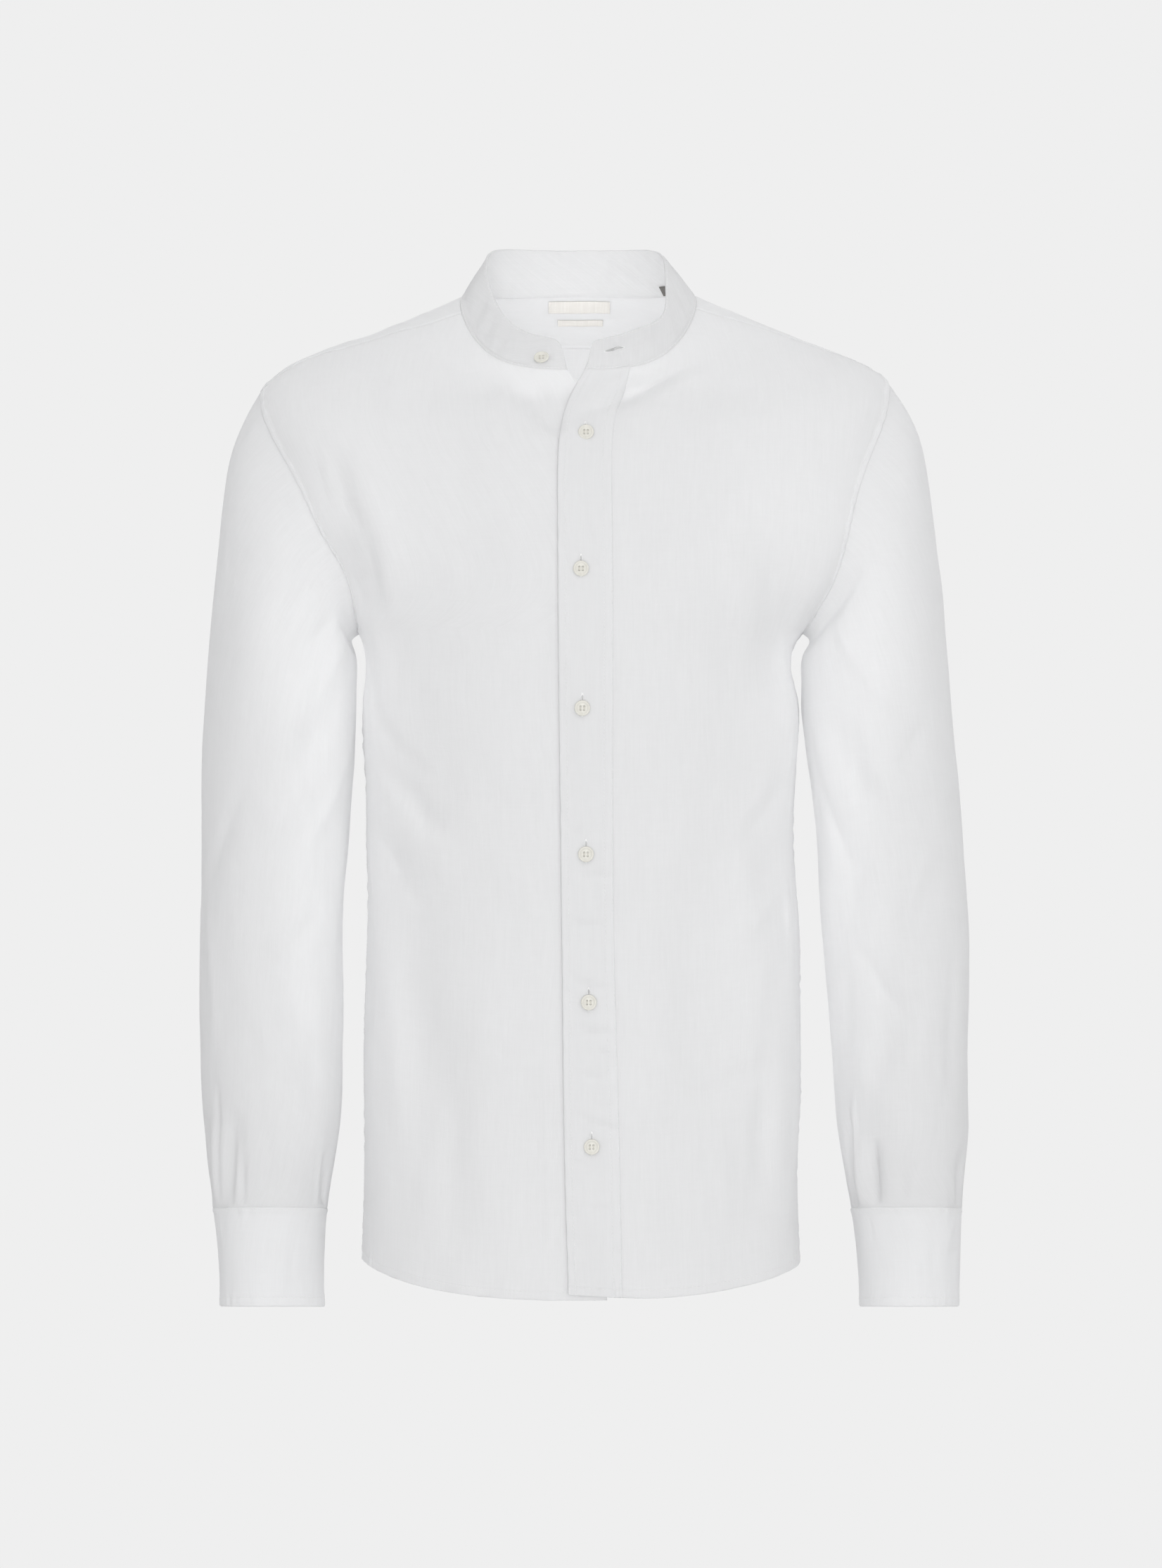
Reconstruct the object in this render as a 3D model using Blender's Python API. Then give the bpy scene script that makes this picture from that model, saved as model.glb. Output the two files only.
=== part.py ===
"""A long-sleeved linen shirt with a mandarin collar, filled out as if worn, with nobody in it.

Metres, +Z up, -Y to the front. The wearer's left is on +X. The origin is at the base of the neck, midway
between the shoulders. Every cloth piece is a thin wall whose outer face follows one shared body form.
"""

import math

import bmesh
import bpy
import numpy as np
from mathutils import Matrix, Vector
from mathutils.kdtree import KDTree

LEFT, RIGHT = 1, -1
SIDES = ((LEFT, "left"), (RIGHT, "right"))

# Cloth and sewing
CLOTH_THICK = 0.0011
DOUBLE_THICK = 0.0018
SEAM_GAP = 0.0003
OVERLAP_DEPTH = 0.0021
LABEL_THICK = 0.0004
LABEL_LIFT = 0.0011

# The torso as rings, each named by the height of its front centre. Half widths are to the right and left of
# x = 0, "swing" is the share of the drop from side to front (or back) that is reached at the corner.
TORSO_COLUMNS = (
    "level", "right", "left", "side_y", "right_z", "left_z",
    "front_y", "front_swing", "back_y", "back_z", "back_swing", "round",
)
TORSO_RINGS = (
    # hem, hip, waist, ribs, chest
    (-0.7223, 0.1592, 0.1604, 0.004, -0.7035, -0.7055, -0.113, 0.55, 0.119, -0.7380, 0.55, 2.4),
    (-0.6000, 0.1584, 0.1596, 0.004, -0.6000, -0.6000, -0.116, 0.60, 0.123, -0.6000, 0.60, 2.4),
    (-0.4500, 0.1572, 0.1582, 0.003, -0.4500, -0.4500, -0.115, 0.60, 0.119, -0.4500, 0.60, 2.4),
    (-0.3500, 0.1580, 0.1574, 0.003, -0.3500, -0.3500, -0.119, 0.60, 0.125, -0.3500, 0.60, 2.4),
    (-0.2900, 0.1592, 0.1570, 0.003, -0.2900, -0.2900, -0.122, 0.60, 0.129, -0.2900, 0.60, 2.5),
    # underarm, flare of the armhole, its middle and its upper part
    (-0.2460, 0.1625, 0.1625, 0.003, -0.2460, -0.2460, -0.122, 0.60, 0.131, -0.2440, 0.60, 2.5),
    (-0.2240, 0.1815, 0.1915, 0.003, -0.2180, -0.2170, -0.121, 0.60, 0.132, -0.2150, 0.60, 2.4),
    (-0.1850, 0.2195, 0.2250, 0.004, -0.1660, -0.1640, -0.116, 0.60, 0.130, -0.1680, 0.60, 2.4),
    (-0.1450, 0.2365, 0.2320, 0.004, -0.1120, -0.1080, -0.106, 0.60, 0.125, -0.1150, 0.60, 2.4),
    # shoulder tip, outer and inner shoulder, neck seam
    (-0.1150, 0.2330, 0.2240, 0.004, -0.0665, -0.0605, -0.0945, 0.62, 0.114, -0.0720, 0.62, 2.4),
    (-0.0940, 0.1985, 0.1900, 0.003, -0.0427, -0.0420, -0.0825, 0.64, 0.101, -0.0440, 0.65, 2.3),
    (-0.0750, 0.1450, 0.1380, 0.001, -0.0248, -0.0230, -0.0690, 0.70, 0.080, -0.0180, 0.70, 2.3),
    (-0.0572, 0.0885, 0.0845, 0.000, -0.0040, -0.0030, -0.0550, 0.77, 0.050, 0.0060, 0.83, 2.2),
)
HEM_LEVEL, UNDERARM_LEVEL = TORSO_RINGS[0][0], TORSO_RINGS[5][0]
TIP_LEVEL, NECK_LEVEL = TORSO_RINGS[9][0], TORSO_RINGS[12][0]
COLLAR_TOP = (-0.0335, 0.0695, 0.0624, -0.002, 0.0240, 0.0230, -0.0300, 0.74, 0.045, 0.0390, 0.97, 2.2)
# The collar opens further at its left front: the angle there, how far round it reaches, and the push outwards
COLLAR_OPEN_ANGLE, COLLAR_OPEN_REACH, COLLAR_OPEN_PUSH = 1.0, 0.27, (0.006, 0.0, -0.006)

# Front opening: x of the placket's free edge and stitched edge, and of the right front's edge beneath it.
OPENING_COLUMNS = ("level", "free_x", "stitched_x", "under_x")
OPENING = (
    (-0.7223, -0.0087, 0.0292, 0.0184),
    (-0.6200, -0.0115, 0.0275, 0.0180),
    (-0.5000, -0.0130, 0.0243, 0.0185),
    (-0.2990, -0.0154, 0.0226, 0.0195),
    (-0.1490, -0.0165, 0.0221, 0.0190),
    (-0.1060, -0.0151, 0.0228, 0.0160),
    (-0.0860, -0.0111, 0.0262, 0.0080),
    (-0.0680, -0.0030, 0.0325, -0.0030),
    (-0.0572, 0.0028, 0.0355, -0.0100),
)
LIP_SETBACK = 0.0005
LIP_LEAST = 0.005
RAMP_WIDTH = 0.014
RAMP_FADE = 0.009
# The left front's lower corner hangs this much higher than its hem, over this turn and height
CORNER_LIFT, CORNER_TURN, CORNER_HEIGHT = 0.0040, 0.42, 0.10

# Armhole: a loop round the skin, from the underarm (0) by the front to the shoulder tip (half a turn).
ARMHOLE_FRONT_REACH = 0.074
ARMHOLE_BACK_REACH = 0.062
ARMHOLE_SKEW = 1.15
YOKE_FRONT_TURN = {RIGHT: math.radians(168), LEFT: math.radians(176)}
YOKE_BACK_TURN = math.radians(228)
YOKE_FRONT_AT_NECK = {RIGHT: 0.012, LEFT: 0.009}
YOKE_BACK_LEVEL = -0.0830

# Sleeve rings below the armhole. "along" is the distance down the sleeve, "rise" lifts the front edge.
SLEEVE_COLUMNS = (
    "along", "outer_z", "inner_z", "right_outer", "right_inner", "left_outer", "left_inner",
    "front_y", "back_y", "rise",
)
SLEEVE_RINGS = (
    # armhole (where the true seam takes its place), cap, head, upper arm, biceps
    (0.000, -0.0665, -0.2460, 0.2330, 0.1625, 0.2240, 0.1625, -0.0720, 0.0620, 0.000),
    (0.012, -0.0825, -0.2500, 0.2425, 0.1680, 0.2355, 0.1675, -0.0735, 0.0640, 0.000),
    (0.040, -0.1180, -0.2600, 0.2560, 0.1660, 0.2505, 0.1640, -0.0745, 0.0670, 0.000),
    (0.090, -0.2000, -0.2800, 0.2668, 0.1632, 0.2620, 0.1612, -0.0735, 0.0690, 0.000),
    (0.150, -0.3020, -0.3080, 0.2745, 0.1638, 0.2712, 0.1614, -0.0700, 0.0640, 0.000),
    # above the elbow, elbow, forearm, above the cuff, cuff seam, cuff edge
    (0.235, -0.3850, -0.3850, 0.2780, 0.1692, 0.2775, 0.1690, -0.0660, 0.0540, 0.000),
    (0.320, -0.4700, -0.4700, 0.2775, 0.1720, 0.2835, 0.1770, -0.0680, 0.0440, 0.001),
    (0.400, -0.5500, -0.5500, 0.2765, 0.1735, 0.2835, 0.1830, -0.0700, 0.0340, 0.002),
    (0.460, -0.6100, -0.6100, 0.2730, 0.1765, 0.2808, 0.1875, -0.0710, 0.0260, 0.003),
    (0.516, -0.6640, -0.6640, 0.2675, 0.1848, 0.2765, 0.1945, -0.0690, 0.0110, 0.004),
    (0.588, -0.7350, -0.7350, 0.2632, 0.1860, 0.2735, 0.2004, -0.0690, 0.0090, 0.004),
)
CUFF_SEAM_ROW = 9
ARMHOLE_FADE = 0.10
CUFF_START = math.radians(236)
CUFF_LAP_COLUMNS = 2
SLIT_COLUMNS, SLIT_ROWS = 2, 7

# Folds of the torso in its front or back view: ends of the crease line, width, height (negative is a
# trough) and how far its middle bows sideways. They fade over the side and towards the neck seam.
SIDE_FADE_FROM, SIDE_FADE_WIDE = -0.15, 0.35
NECK_FADE = 0.012
FOLD_TAPER = 0.7
FOLD_COLUMNS = ("start_x", "start_z", "end_x", "end_z", "width", "height", "bow")
FRONT_FOLDS = (
    # from the left collar end down to the placket, and under the right collar end
    (0.094, -0.040, 0.026, -0.086, 0.011, -0.0045, 0.004),
    (0.080, -0.060, 0.030, -0.105, 0.013, 0.0030, 0.004),
    (-0.050, -0.066, -0.012, -0.106, 0.010, -0.0035, -0.003),
    (-0.075, -0.058, -0.040, -0.100, 0.012, 0.0025, -0.003),
    # beside the armholes
    (-0.176, -0.135, -0.150, -0.235, 0.013, -0.0030, 0.006),
    (-0.160, -0.110, -0.128, -0.225, 0.015, 0.0030, 0.006),
    (0.128, -0.170, 0.142, -0.300, 0.013, -0.0045, -0.006),
    (0.112, -0.140, 0.118, -0.270, 0.016, 0.0030, -0.006),
    # across the waist and down the lower body
    (-0.148, -0.330, -0.098, -0.395, 0.011, -0.0035, 0.004),
    (-0.140, -0.370, -0.085, -0.425, 0.012, 0.0028, 0.003),
    (-0.120, -0.420, -0.104, -0.640, 0.016, -0.0035, 0.005),
    (-0.075, -0.480, -0.066, -0.690, 0.017, 0.0030, -0.004),
    (0.080, -0.400, 0.088, -0.590, 0.015, -0.0040, 0.004),
    (0.112, -0.360, 0.126, -0.600, 0.016, 0.0030, -0.004),
    (0.105, -0.562, 0.132, -0.562, 0.006, -0.0022, 0.001),
    (0.055, -0.500, 0.058, -0.700, 0.015, 0.0025, 0.003),
)
BACK_FOLDS = (
    # below the yoke, beside the armholes, across the waist and down to the tail
    (-0.060, -0.070, -0.050, -0.330, 0.014, -0.0040, 0.005),
    (-0.085, -0.090, -0.082, -0.290, 0.015, 0.0030, 0.004),
    (0.066, -0.075, 0.050, -0.360, 0.014, -0.0040, -0.006),
    (0.094, -0.095, 0.084, -0.300, 0.016, 0.0030, -0.004),
    (-0.155, -0.150, -0.125, -0.260, 0.013, -0.0040, 0.006),
    (0.152, -0.160, 0.120, -0.275, 0.013, -0.0040, -0.006),
    (-0.130, -0.380, -0.030, -0.430, 0.014, 0.0030, 0.006),
    (0.010, -0.440, 0.125, -0.395, 0.013, -0.0035, -0.005),
    (-0.105, -0.470, -0.090, -0.700, 0.017, 0.0035, 0.005),
    (0.030, -0.500, 0.020, -0.710, 0.016, -0.0035, 0.004),
    (0.100, -0.450, 0.118, -0.690, 0.016, 0.0035, -0.004),
)
# Folds of a sleeve, whose x is a turn round it in degrees (90 is the front). They fade towards both seams.
SLEEVE_RADIUS = 0.055
CAP_FADE_FROM, CAP_FADE, CUFF_FADE = 0.02, 0.05, 0.006
SLEEVE_FOLDS = {
    RIGHT: (
        (40, -0.290, 95, -0.370, 0.013, -0.0040, 0.005),
        (60, -0.330, 120, -0.430, 0.014, 0.0030, 0.004),
        (95, -0.470, 60, -0.540, 0.013, -0.0035, 0.004),
        (118, -0.590, 132, -0.662, 0.008, -0.0045, 0.001),
        (142, -0.600, 150, -0.662, 0.008, 0.0035, 0.001),
        (160, -0.596, 166, -0.662, 0.008, -0.0045, -0.001),
        (28, -0.620, 22, -0.662, 0.008, -0.0035, 0.000),
        (230, -0.300, 275, -0.400, 0.014, -0.0040, 0.005),
        (300, -0.430, 250, -0.520, 0.014, 0.0030, 0.005),
        (214, -0.560, 210, -0.660, 0.010, -0.0040, 0.002),
    ),
    LEFT: (
        (44, -0.300, 100, -0.390, 0.013, -0.0035, 0.005),
        (70, -0.330, 128, -0.420, 0.014, 0.0028, 0.003),
        (100, -0.505, 62, -0.575, 0.013, -0.0035, 0.004),
        (30, -0.600, 24, -0.662, 0.008, -0.0045, 0.001),
        (44, -0.606, 40, -0.662, 0.008, 0.0032, 0.001),
        (60, -0.612, 56, -0.662, 0.008, -0.0035, 0.001),
        (150, -0.620, 156, -0.662, 0.008, -0.0030, 0.000),
        (236, -0.290, 280, -0.390, 0.014, -0.0040, 0.005),
        (296, -0.440, 246, -0.530, 0.014, 0.0030, -0.005),
        (212, -0.560, 208, -0.660, 0.010, -0.0040, 0.002),
    ),
}

# How finely each piece is divided, on a body about this far from its middle
BODY_RADIUS = 0.15
HEM_TO_UNDERARM, ARMHOLE_FRONT, ARMHOLE_YOKE, ARMHOLE_BACK = 17, 9, 5, 9
PLACKET_SHARES = (0.0, 0.16, 0.5, 1.0)
NECK_FRONT, YOKE_SEAM, YOKE_WIDE = 4, 7, 28
SLEEVE_ALONG = (
    0.0, 0.004, 0.012, 0.024, 0.040, 0.063, 0.090, 0.120, 0.150, 0.178, 0.206, 0.235, 0.263, 0.292,
    0.320, 0.347, 0.374, 0.400, 0.422, 0.442, 0.460, 0.474, 0.488, 0.502, 0.516,
)
CUFF_ROWS, COLLAR_ROWS = 4, 4

# Buttons and labels
BUTTON_WIDE, BUTTON_THICK, BUTTON_LIFT, BUTTON_SEGMENTS = 0.0112, 0.0024, 0.0006, 18
BUTTON_PROFILE = (
    # radius and height as shares: back, rounded edge, rim, dish
    (0.0, 0.0), (0.62, 0.0), (0.92, 0.28), (1.0, 0.60), (0.93, 0.95), (0.80, 1.0), (0.64, 0.66), (0.0, 0.62),
)
BUTTON_PLACES = (
    (0.0035, -0.1047), (0.0000, -0.2036), (0.0010, -0.3023),
    (0.0035, -0.4057), (0.0055, -0.5108), (0.0075, -0.6131),
)
COLLAR_END_X = {RIGHT: -0.0150, LEFT: 0.0088}
COLLAR_CORNER = {RIGHT: 0.009, LEFT: 0.005}
COLLAR_HEIGHT, COLLAR_END_REACH = 0.034, 0.06
COLLAR_BUTTON_X, COLLAR_BUTTON_SHARE = -0.0284, 0.40

# Labels inside the back yoke: name, centre x, width, and the levels of the form that they lie between
LABELS = (
    ("neck_label", -0.0013, 0.0456, (-0.0650, -0.0592)),
    ("fabric_label", -0.0005, 0.0336, (-0.0715, -0.0686)),
)
LABEL_COLUMNS, LABEL_ROWS = 7, 3
TAG_SIDES, TAG_SHARES = (0.0605, 0.0675), (0.04, 0.38)

# Finishes: colour, then roughness and metallic
LINEN = ((0.80, 0.81, 0.83), 0.85, 0.0)
CREAM = ((0.78, 0.76, 0.68), 0.35, 0.0)
WOVEN = ((0.70, 0.68, 0.62), 0.70, 0.0)

SAME_PLACE = 2e-5
SHARP_ANGLE = math.radians(50)


def remove_everything():
    for thing in list(bpy.data.objects):
        bpy.data.objects.remove(thing, do_unlink=True)


def material(name, colour, roughness, metallic):
    made = bpy.data.materials.new(name)
    made.use_nodes = True
    shader = made.node_tree.nodes["Principled BSDF"]
    shader.inputs["Base Color"].default_value = (*colour, 1.0)
    shader.inputs["Roughness"].default_value = roughness
    shader.inputs["Metallic"].default_value = metallic
    return made


# ---------------------------------------------------------------- curves


def spline(knots, values, places):
    """A natural cubic spline through rows of values, read at any array of places."""
    knots, values, places = (np.asarray(a, float) for a in (knots, values, places))
    count, steps = len(knots), np.diff(knots)
    slopes = np.diff(values, axis=0) / steps.reshape((-1,) + (1,) * (values.ndim - 1))
    matrix, wanted = np.eye(count), np.zeros_like(values)
    for i in range(1, count - 1):
        matrix[i, i - 1 : i + 2] = steps[i - 1], 2 * (steps[i - 1] + steps[i]), steps[i]
        wanted[i] = 6 * (slopes[i] - slopes[i - 1])
    bends = np.linalg.solve(matrix, wanted.reshape(count, -1)).reshape(values.shape)
    k = np.clip(np.searchsorted(knots, places, side="right") - 1, 0, count - 2)
    wide = steps[k].reshape(places.shape + (1,) * (values.ndim - 1))
    near = (knots[k + 1] - places).reshape(wide.shape) / wide
    far = 1 - near
    bent = (near**3 - near) * bends[k] + (far**3 - far) * bends[k + 1]
    return near * values[k] + far * values[k + 1] + bent * wide**2 / 6


def table_reader(columns, rows):
    """A function that reads a table of rows at any value of its first column, as named columns."""
    rows = np.array(sorted(rows))

    def read(place):
        values = spline(rows[:, 0], rows[:, 1:], place)
        return {name: values[..., i] for i, name in enumerate(columns[1:])}

    return read


def smooth_step(share):
    share = np.clip(share, 0, 1)
    return share * share * (3 - 2 * share)


def fold_height(x, z, rows):
    """The height of all the folds in a table at places in a flat view."""
    total = np.zeros(np.broadcast(x, z).shape)
    for row in rows:
        fold = dict(zip(FOLD_COLUMNS, row))
        from_x, from_z = x - fold["start_x"], z - fold["start_z"]
        run_x, run_z = fold["end_x"] - fold["start_x"], fold["end_z"] - fold["start_z"]
        long = math.hypot(run_x, run_z)
        inside = np.clip((from_x * run_x + from_z * run_z) / long**2, 0, 1)
        taper = (4 * inside * (1 - inside)) ** FOLD_TAPER
        across = (from_x * run_z - from_z * run_x) / long - fold["bow"] * taper
        total = total + fold["height"] * taper * np.exp(-((across / fold["width"]) ** 2))
    return total


# ---------------------------------------------------------------- the torso form

torso_at = table_reader(TORSO_COLUMNS, TORSO_RINGS)
opening_at = table_reader(OPENING_COLUMNS, OPENING)


def ring_point(angle, front_z, ring):
    """A point of one ring. The angle is 0 at the front centre and a quarter turn at the wearer's left."""
    sine, cosine = np.sin(angle), np.cos(angle)
    power = 2 / ring["round"]
    middle, half = (ring["left"] - ring["right"]) / 2, (ring["left"] + ring["right"]) / 2
    depth = np.where(cosine > 0, ring["front_y"] - ring["side_y"], ring["back_y"] - ring["side_y"])
    x = middle + half * np.sign(sine) * np.abs(sine) ** power
    y = ring["side_y"] + depth * np.abs(cosine) ** power
    side = (ring["left_z"] + ring["right_z"]) / 2
    tilt = (ring["left_z"] - ring["right_z"]) / 2
    front, back = front_z - side, ring["back_z"] - side
    front_corner, back_corner = front * ring["front_swing"], back * ring["back_swing"]
    even, odd = (front + back) / 2, (front - back) / 2
    even_corner = (front_corner + back_corner) / 2
    odd_corner = (front_corner - back_corner) / 2 * math.sqrt(2)
    square = cosine**2
    rise = (4 * even_corner - even) * square + (2 * even - 4 * even_corner) * square**2
    rise = rise + cosine * (2 * odd_corner - odd + 2 * (odd - odd_corner) * square)
    return np.stack([x, y, side + rise + tilt * sine * (1 - square)], axis=-1)


def torso_skin(angle, level):
    angle, level = np.broadcast_arrays(np.asarray(angle, float), np.asarray(level, float))
    return ring_point(angle, level, torso_at(level))


def outward(surface, first, second, step=1e-4):
    """Unit normals of a surface of two values, which run round it and up it."""
    round_it = surface(first + step, second) - surface(first - step, second)
    up_it = surface(first, second + step) - surface(first, second - step)
    normal = np.cross(round_it, up_it)
    return normal / np.linalg.norm(normal, axis=-1, keepdims=True)


def torso(angle, level):
    """The torso form with its folds, which fade towards the neck seam and the armholes' sides."""
    angle, level = np.broadcast_arrays(np.asarray(angle, float), np.asarray(level, float))
    point = torso_skin(angle, level)
    x, z = point[..., 0], point[..., 2]
    front = smooth_step((np.cos(angle) - SIDE_FADE_FROM) / SIDE_FADE_WIDE)
    height = front * fold_height(x, z, FRONT_FOLDS)
    height = height + (1 - front) * fold_height(x, z, BACK_FOLDS)
    height = height * smooth_step((NECK_LEVEL - level) / NECK_FADE)
    return point + outward(torso_skin, angle, level) * height[..., None]


def angle_at_x(level, x):
    """The angle, on the front, of the point of a ring that has this x."""
    ring = torso_at(level)
    middle, half = (ring["left"] - ring["right"]) / 2, (ring["left"] + ring["right"]) / 2
    share = (x - middle) / half
    return np.arcsin(np.sign(share) * np.abs(share) ** (ring["round"] / 2))


def angle_at_reach(level, reach):
    """The angle towards one side of the point this far in front (or, negative, behind) of the side."""
    ring = torso_at(level)
    depth = np.where(reach > 0, ring["side_y"] - ring["front_y"], ring["back_y"] - ring["side_y"])
    share = np.clip(np.abs(reach) / depth, 0, 1) ** (ring["round"] / 2)
    return np.arccos(np.sign(reach) * share)


def armhole(turn):
    """Angle and level of the armhole's loop, for turns from the underarm by the front to the tip and back."""
    turn = np.asarray(turn, float)
    up = ((1 - np.cos(turn)) / 2) ** ARMHOLE_SKEW
    level = UNDERARM_LEVEL + (TIP_LEVEL - UNDERARM_LEVEL) * up
    reach = np.sin(turn) * np.where(turn < math.pi, ARMHOLE_FRONT_REACH, ARMHOLE_BACK_REACH)
    return np.stack([angle_at_reach(level, reach), level], axis=-1)


def armhole_turns(side):
    """The turns at which the armhole's points lie: front, yoke and back stretches share their ends."""
    front = np.linspace(0, YOKE_FRONT_TURN[side], ARMHOLE_FRONT + 1)
    over = np.linspace(YOKE_FRONT_TURN[side], YOKE_BACK_TURN, ARMHOLE_YOKE + 1)
    behind = np.linspace(YOKE_BACK_TURN, 2 * math.pi, ARMHOLE_BACK + 1)
    return front, over, behind


def front_yoke_seam(side, count):
    """Angle and level of the yoke's front seam, from the neck out to the armhole."""
    share = np.linspace(0, 1, count + 1)
    outer = YOKE_FRONT_TURN[side]
    level = NECK_LEVEL + (armhole(outer)[1] - NECK_LEVEL) * share
    at_neck = YOKE_FRONT_AT_NECK[side]
    reach = at_neck + (math.sin(outer) * ARMHOLE_FRONT_REACH - at_neck) * share
    return np.stack([angle_at_reach(level, reach), level], axis=-1)


def round_back(places, side):
    """Angles towards one side turned into angles that run from the left side round the back."""
    turned = places.copy()
    if side == RIGHT:
        turned[..., 0] = 2 * math.pi - turned[..., 0]
    return turned


# ---------------------------------------------------------------- dividing the panels


def shares_along(line):
    """How far along a line of angles and levels each of its points is, from 0 to 1."""
    steps = np.hypot(np.diff(line[:, 0]) * BODY_RADIUS, np.diff(line[:, 1]))
    return np.concatenate([[0], np.cumsum(steps)]) / steps.sum()


def filled(bottom, top, first, last, start=0):
    """A grid of places between four edges that meet at their corners. The top's shape tells from row start up."""
    across = ((shares_along(bottom) + shares_along(top)) / 2)[None, :, None]
    up = ((shares_along(first) + shares_along(last)) / 2)[:, None, None]
    up = np.clip((up - up[start]) / (1 - up[start]), 0, 1)
    between = (1 - up) * bottom[None] + up * top[None]
    beside = (1 - across) * first[:, None] + across * last[:, None]
    corners = (1 - up) * ((1 - across) * bottom[0] + across * bottom[-1])
    corners = corners + up * ((1 - across) * top[0] + across * top[-1])
    return between + beside - corners


def opening_line(side, levels, x):
    """Places on the front at these levels and this x, as angles towards one side."""
    return np.stack([side * angle_at_x(levels, x), levels], axis=-1)


def front_levels():
    """Levels of a front's rows, from the hem to the neck. Above the underarm they half follow the armhole."""
    below = np.linspace(HEM_LEVEL, UNDERARM_LEVEL, HEM_TO_UNDERARM + 1)
    arm = armhole(armhole_turns(LEFT)[0])[:, 1] - UNDERARM_LEVEL
    rise = (np.linspace(0, 1, ARMHOLE_FRONT + 1) + arm / arm[-1]) / 2
    above = UNDERARM_LEVEL + (NECK_LEVEL - UNDERARM_LEVEL) * rise
    return np.concatenate([below, above[1:]])


def side_edge(turns):
    """Places up the side seam and on up the front or the back of the armhole, as far as its turns go."""
    below = np.linspace(HEM_LEVEL, UNDERARM_LEVEL, HEM_TO_UNDERARM + 1)
    seam = np.stack([np.full(len(below), math.pi / 2), below], axis=-1)
    return np.concatenate([seam, armhole(turns)[1:]])


def front_places(side, lines):
    """A front's grid of places: columns at the given lines of x, then on to the side seam and armhole."""
    levels = front_levels()
    columns = [opening_line(side, levels, x) for x in lines]
    inner = columns[-1]
    yoke_seam = front_yoke_seam(side, YOKE_SEAM)
    neck_angles = np.linspace(inner[-1, 0], yoke_seam[0, 0], NECK_FRONT + 1)
    neck = np.stack([neck_angles, np.full(NECK_FRONT + 1, NECK_LEVEL)], axis=-1)
    top = np.concatenate([neck, yoke_seam[1:]])
    hem_angles = inner[0, 0] + (math.pi / 2 - inner[0, 0]) * np.linspace(0, 1, len(top))
    hem = np.stack([hem_angles, np.full(len(top), HEM_LEVEL)], axis=-1)
    rest = filled(hem, top, inner, side_edge(armhole_turns(side)[0]), HEM_TO_UNDERARM)
    return np.concatenate([np.stack(columns[:-1], axis=1), rest], axis=1)


def corner_lift(places):
    """How far up each of the left front's places moves, most at the foot of the placket's free edge."""
    beside = np.clip(1 - (places[..., 0] - places[:, :1, 0]) / CORNER_TURN, 0, 1)
    fade = smooth_step(1 - (places[..., 1] - HEM_LEVEL) / CORNER_HEIGHT)
    return CORNER_LIFT * beside**2 * fade


def front_left_places():
    edges = opening_at(front_levels())
    wide = edges["stitched_x"] - edges["free_x"]
    places = front_places(LEFT, [edges["free_x"] + wide * share for share in PLACKET_SHARES])
    places[..., 1] += corner_lift(places)
    return places


def right_lip():
    """For each row, the x of the line of the right front that lies just at the left front's edge."""
    edges = opening_at(front_levels())
    return np.minimum(edges["free_x"] - LIP_SETBACK, edges["under_x"] - LIP_LEAST)


def front_right_places():
    under, lip = opening_at(front_levels())["under_x"], right_lip()
    return front_places(RIGHT, [under, (under + lip) / 2, lip, lip - RAMP_WIDTH / 2, lip - RAMP_WIDTH])


def front_left_points():
    places = front_left_places()
    return torso(places[..., 0], places[..., 1])


def front_right_points():
    """The right front, which dips under the left front before it reaches that front's edge."""
    places = front_right_places()
    angle, level = -places[..., 0], places[..., 1]
    points = torso(angle, level)
    dip = smooth_step((points[..., 0] - right_lip()[:, None] + RAMP_WIDTH) / RAMP_WIDTH)
    dip = dip * smooth_step((NECK_LEVEL - level) / RAMP_FADE) * OVERLAP_DEPTH
    return points - outward(torso_skin, angle, level) * dip[..., None]


def yoke_places():
    """The yoke's grid, from the neck seam out, and from the left front seam round the back to the right."""
    ends = {side: round_back(front_yoke_seam(side, YOKE_SEAM), side) for side in (LEFT, RIGHT)}
    neck_angles = np.linspace(ends[LEFT][0, 0], ends[RIGHT][0, 0], YOKE_WIDE + 1)
    neck = np.stack([neck_angles, np.full(YOKE_WIDE + 1, NECK_LEVEL)], axis=-1)
    arms = {side: round_back(armhole(armhole_turns(side)[1]), side) for side in (LEFT, RIGHT)}
    outer = np.concatenate([arms[LEFT], back_yoke_seam()[1:-1], arms[RIGHT][::-1]])
    return filled(neck, outer, ends[LEFT], ends[RIGHT])


def back_yoke_seam():
    """Places on the back yoke seam, from the left armhole to the right one."""
    count = YOKE_WIDE - 2 * ARMHOLE_YOKE
    outer_angle, outer_level = armhole(YOKE_BACK_TURN)
    across = np.linspace(-1, 1, count + 1)
    angle = math.pi + across * (math.pi - outer_angle)
    level = YOKE_BACK_LEVEL + (outer_level - YOKE_BACK_LEVEL) * np.abs(across) ** 1.8
    return np.stack([angle, level], axis=-1)


def back_places():
    """The back's grid, from the hem up, and from the left side seam round to the right one."""
    sides = {side: round_back(side_edge(armhole_turns(side)[2][::-1]), side) for side in (LEFT, RIGHT)}
    top = back_yoke_seam()
    hem_angles = np.linspace(math.pi / 2, 3 * math.pi / 2, len(top))
    hem = np.stack([hem_angles, np.full(len(top), HEM_LEVEL)], axis=-1)
    return filled(hem, top, sides[LEFT], sides[RIGHT], HEM_TO_UNDERARM)


# ---------------------------------------------------------------- sleeves and cuffs


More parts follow.
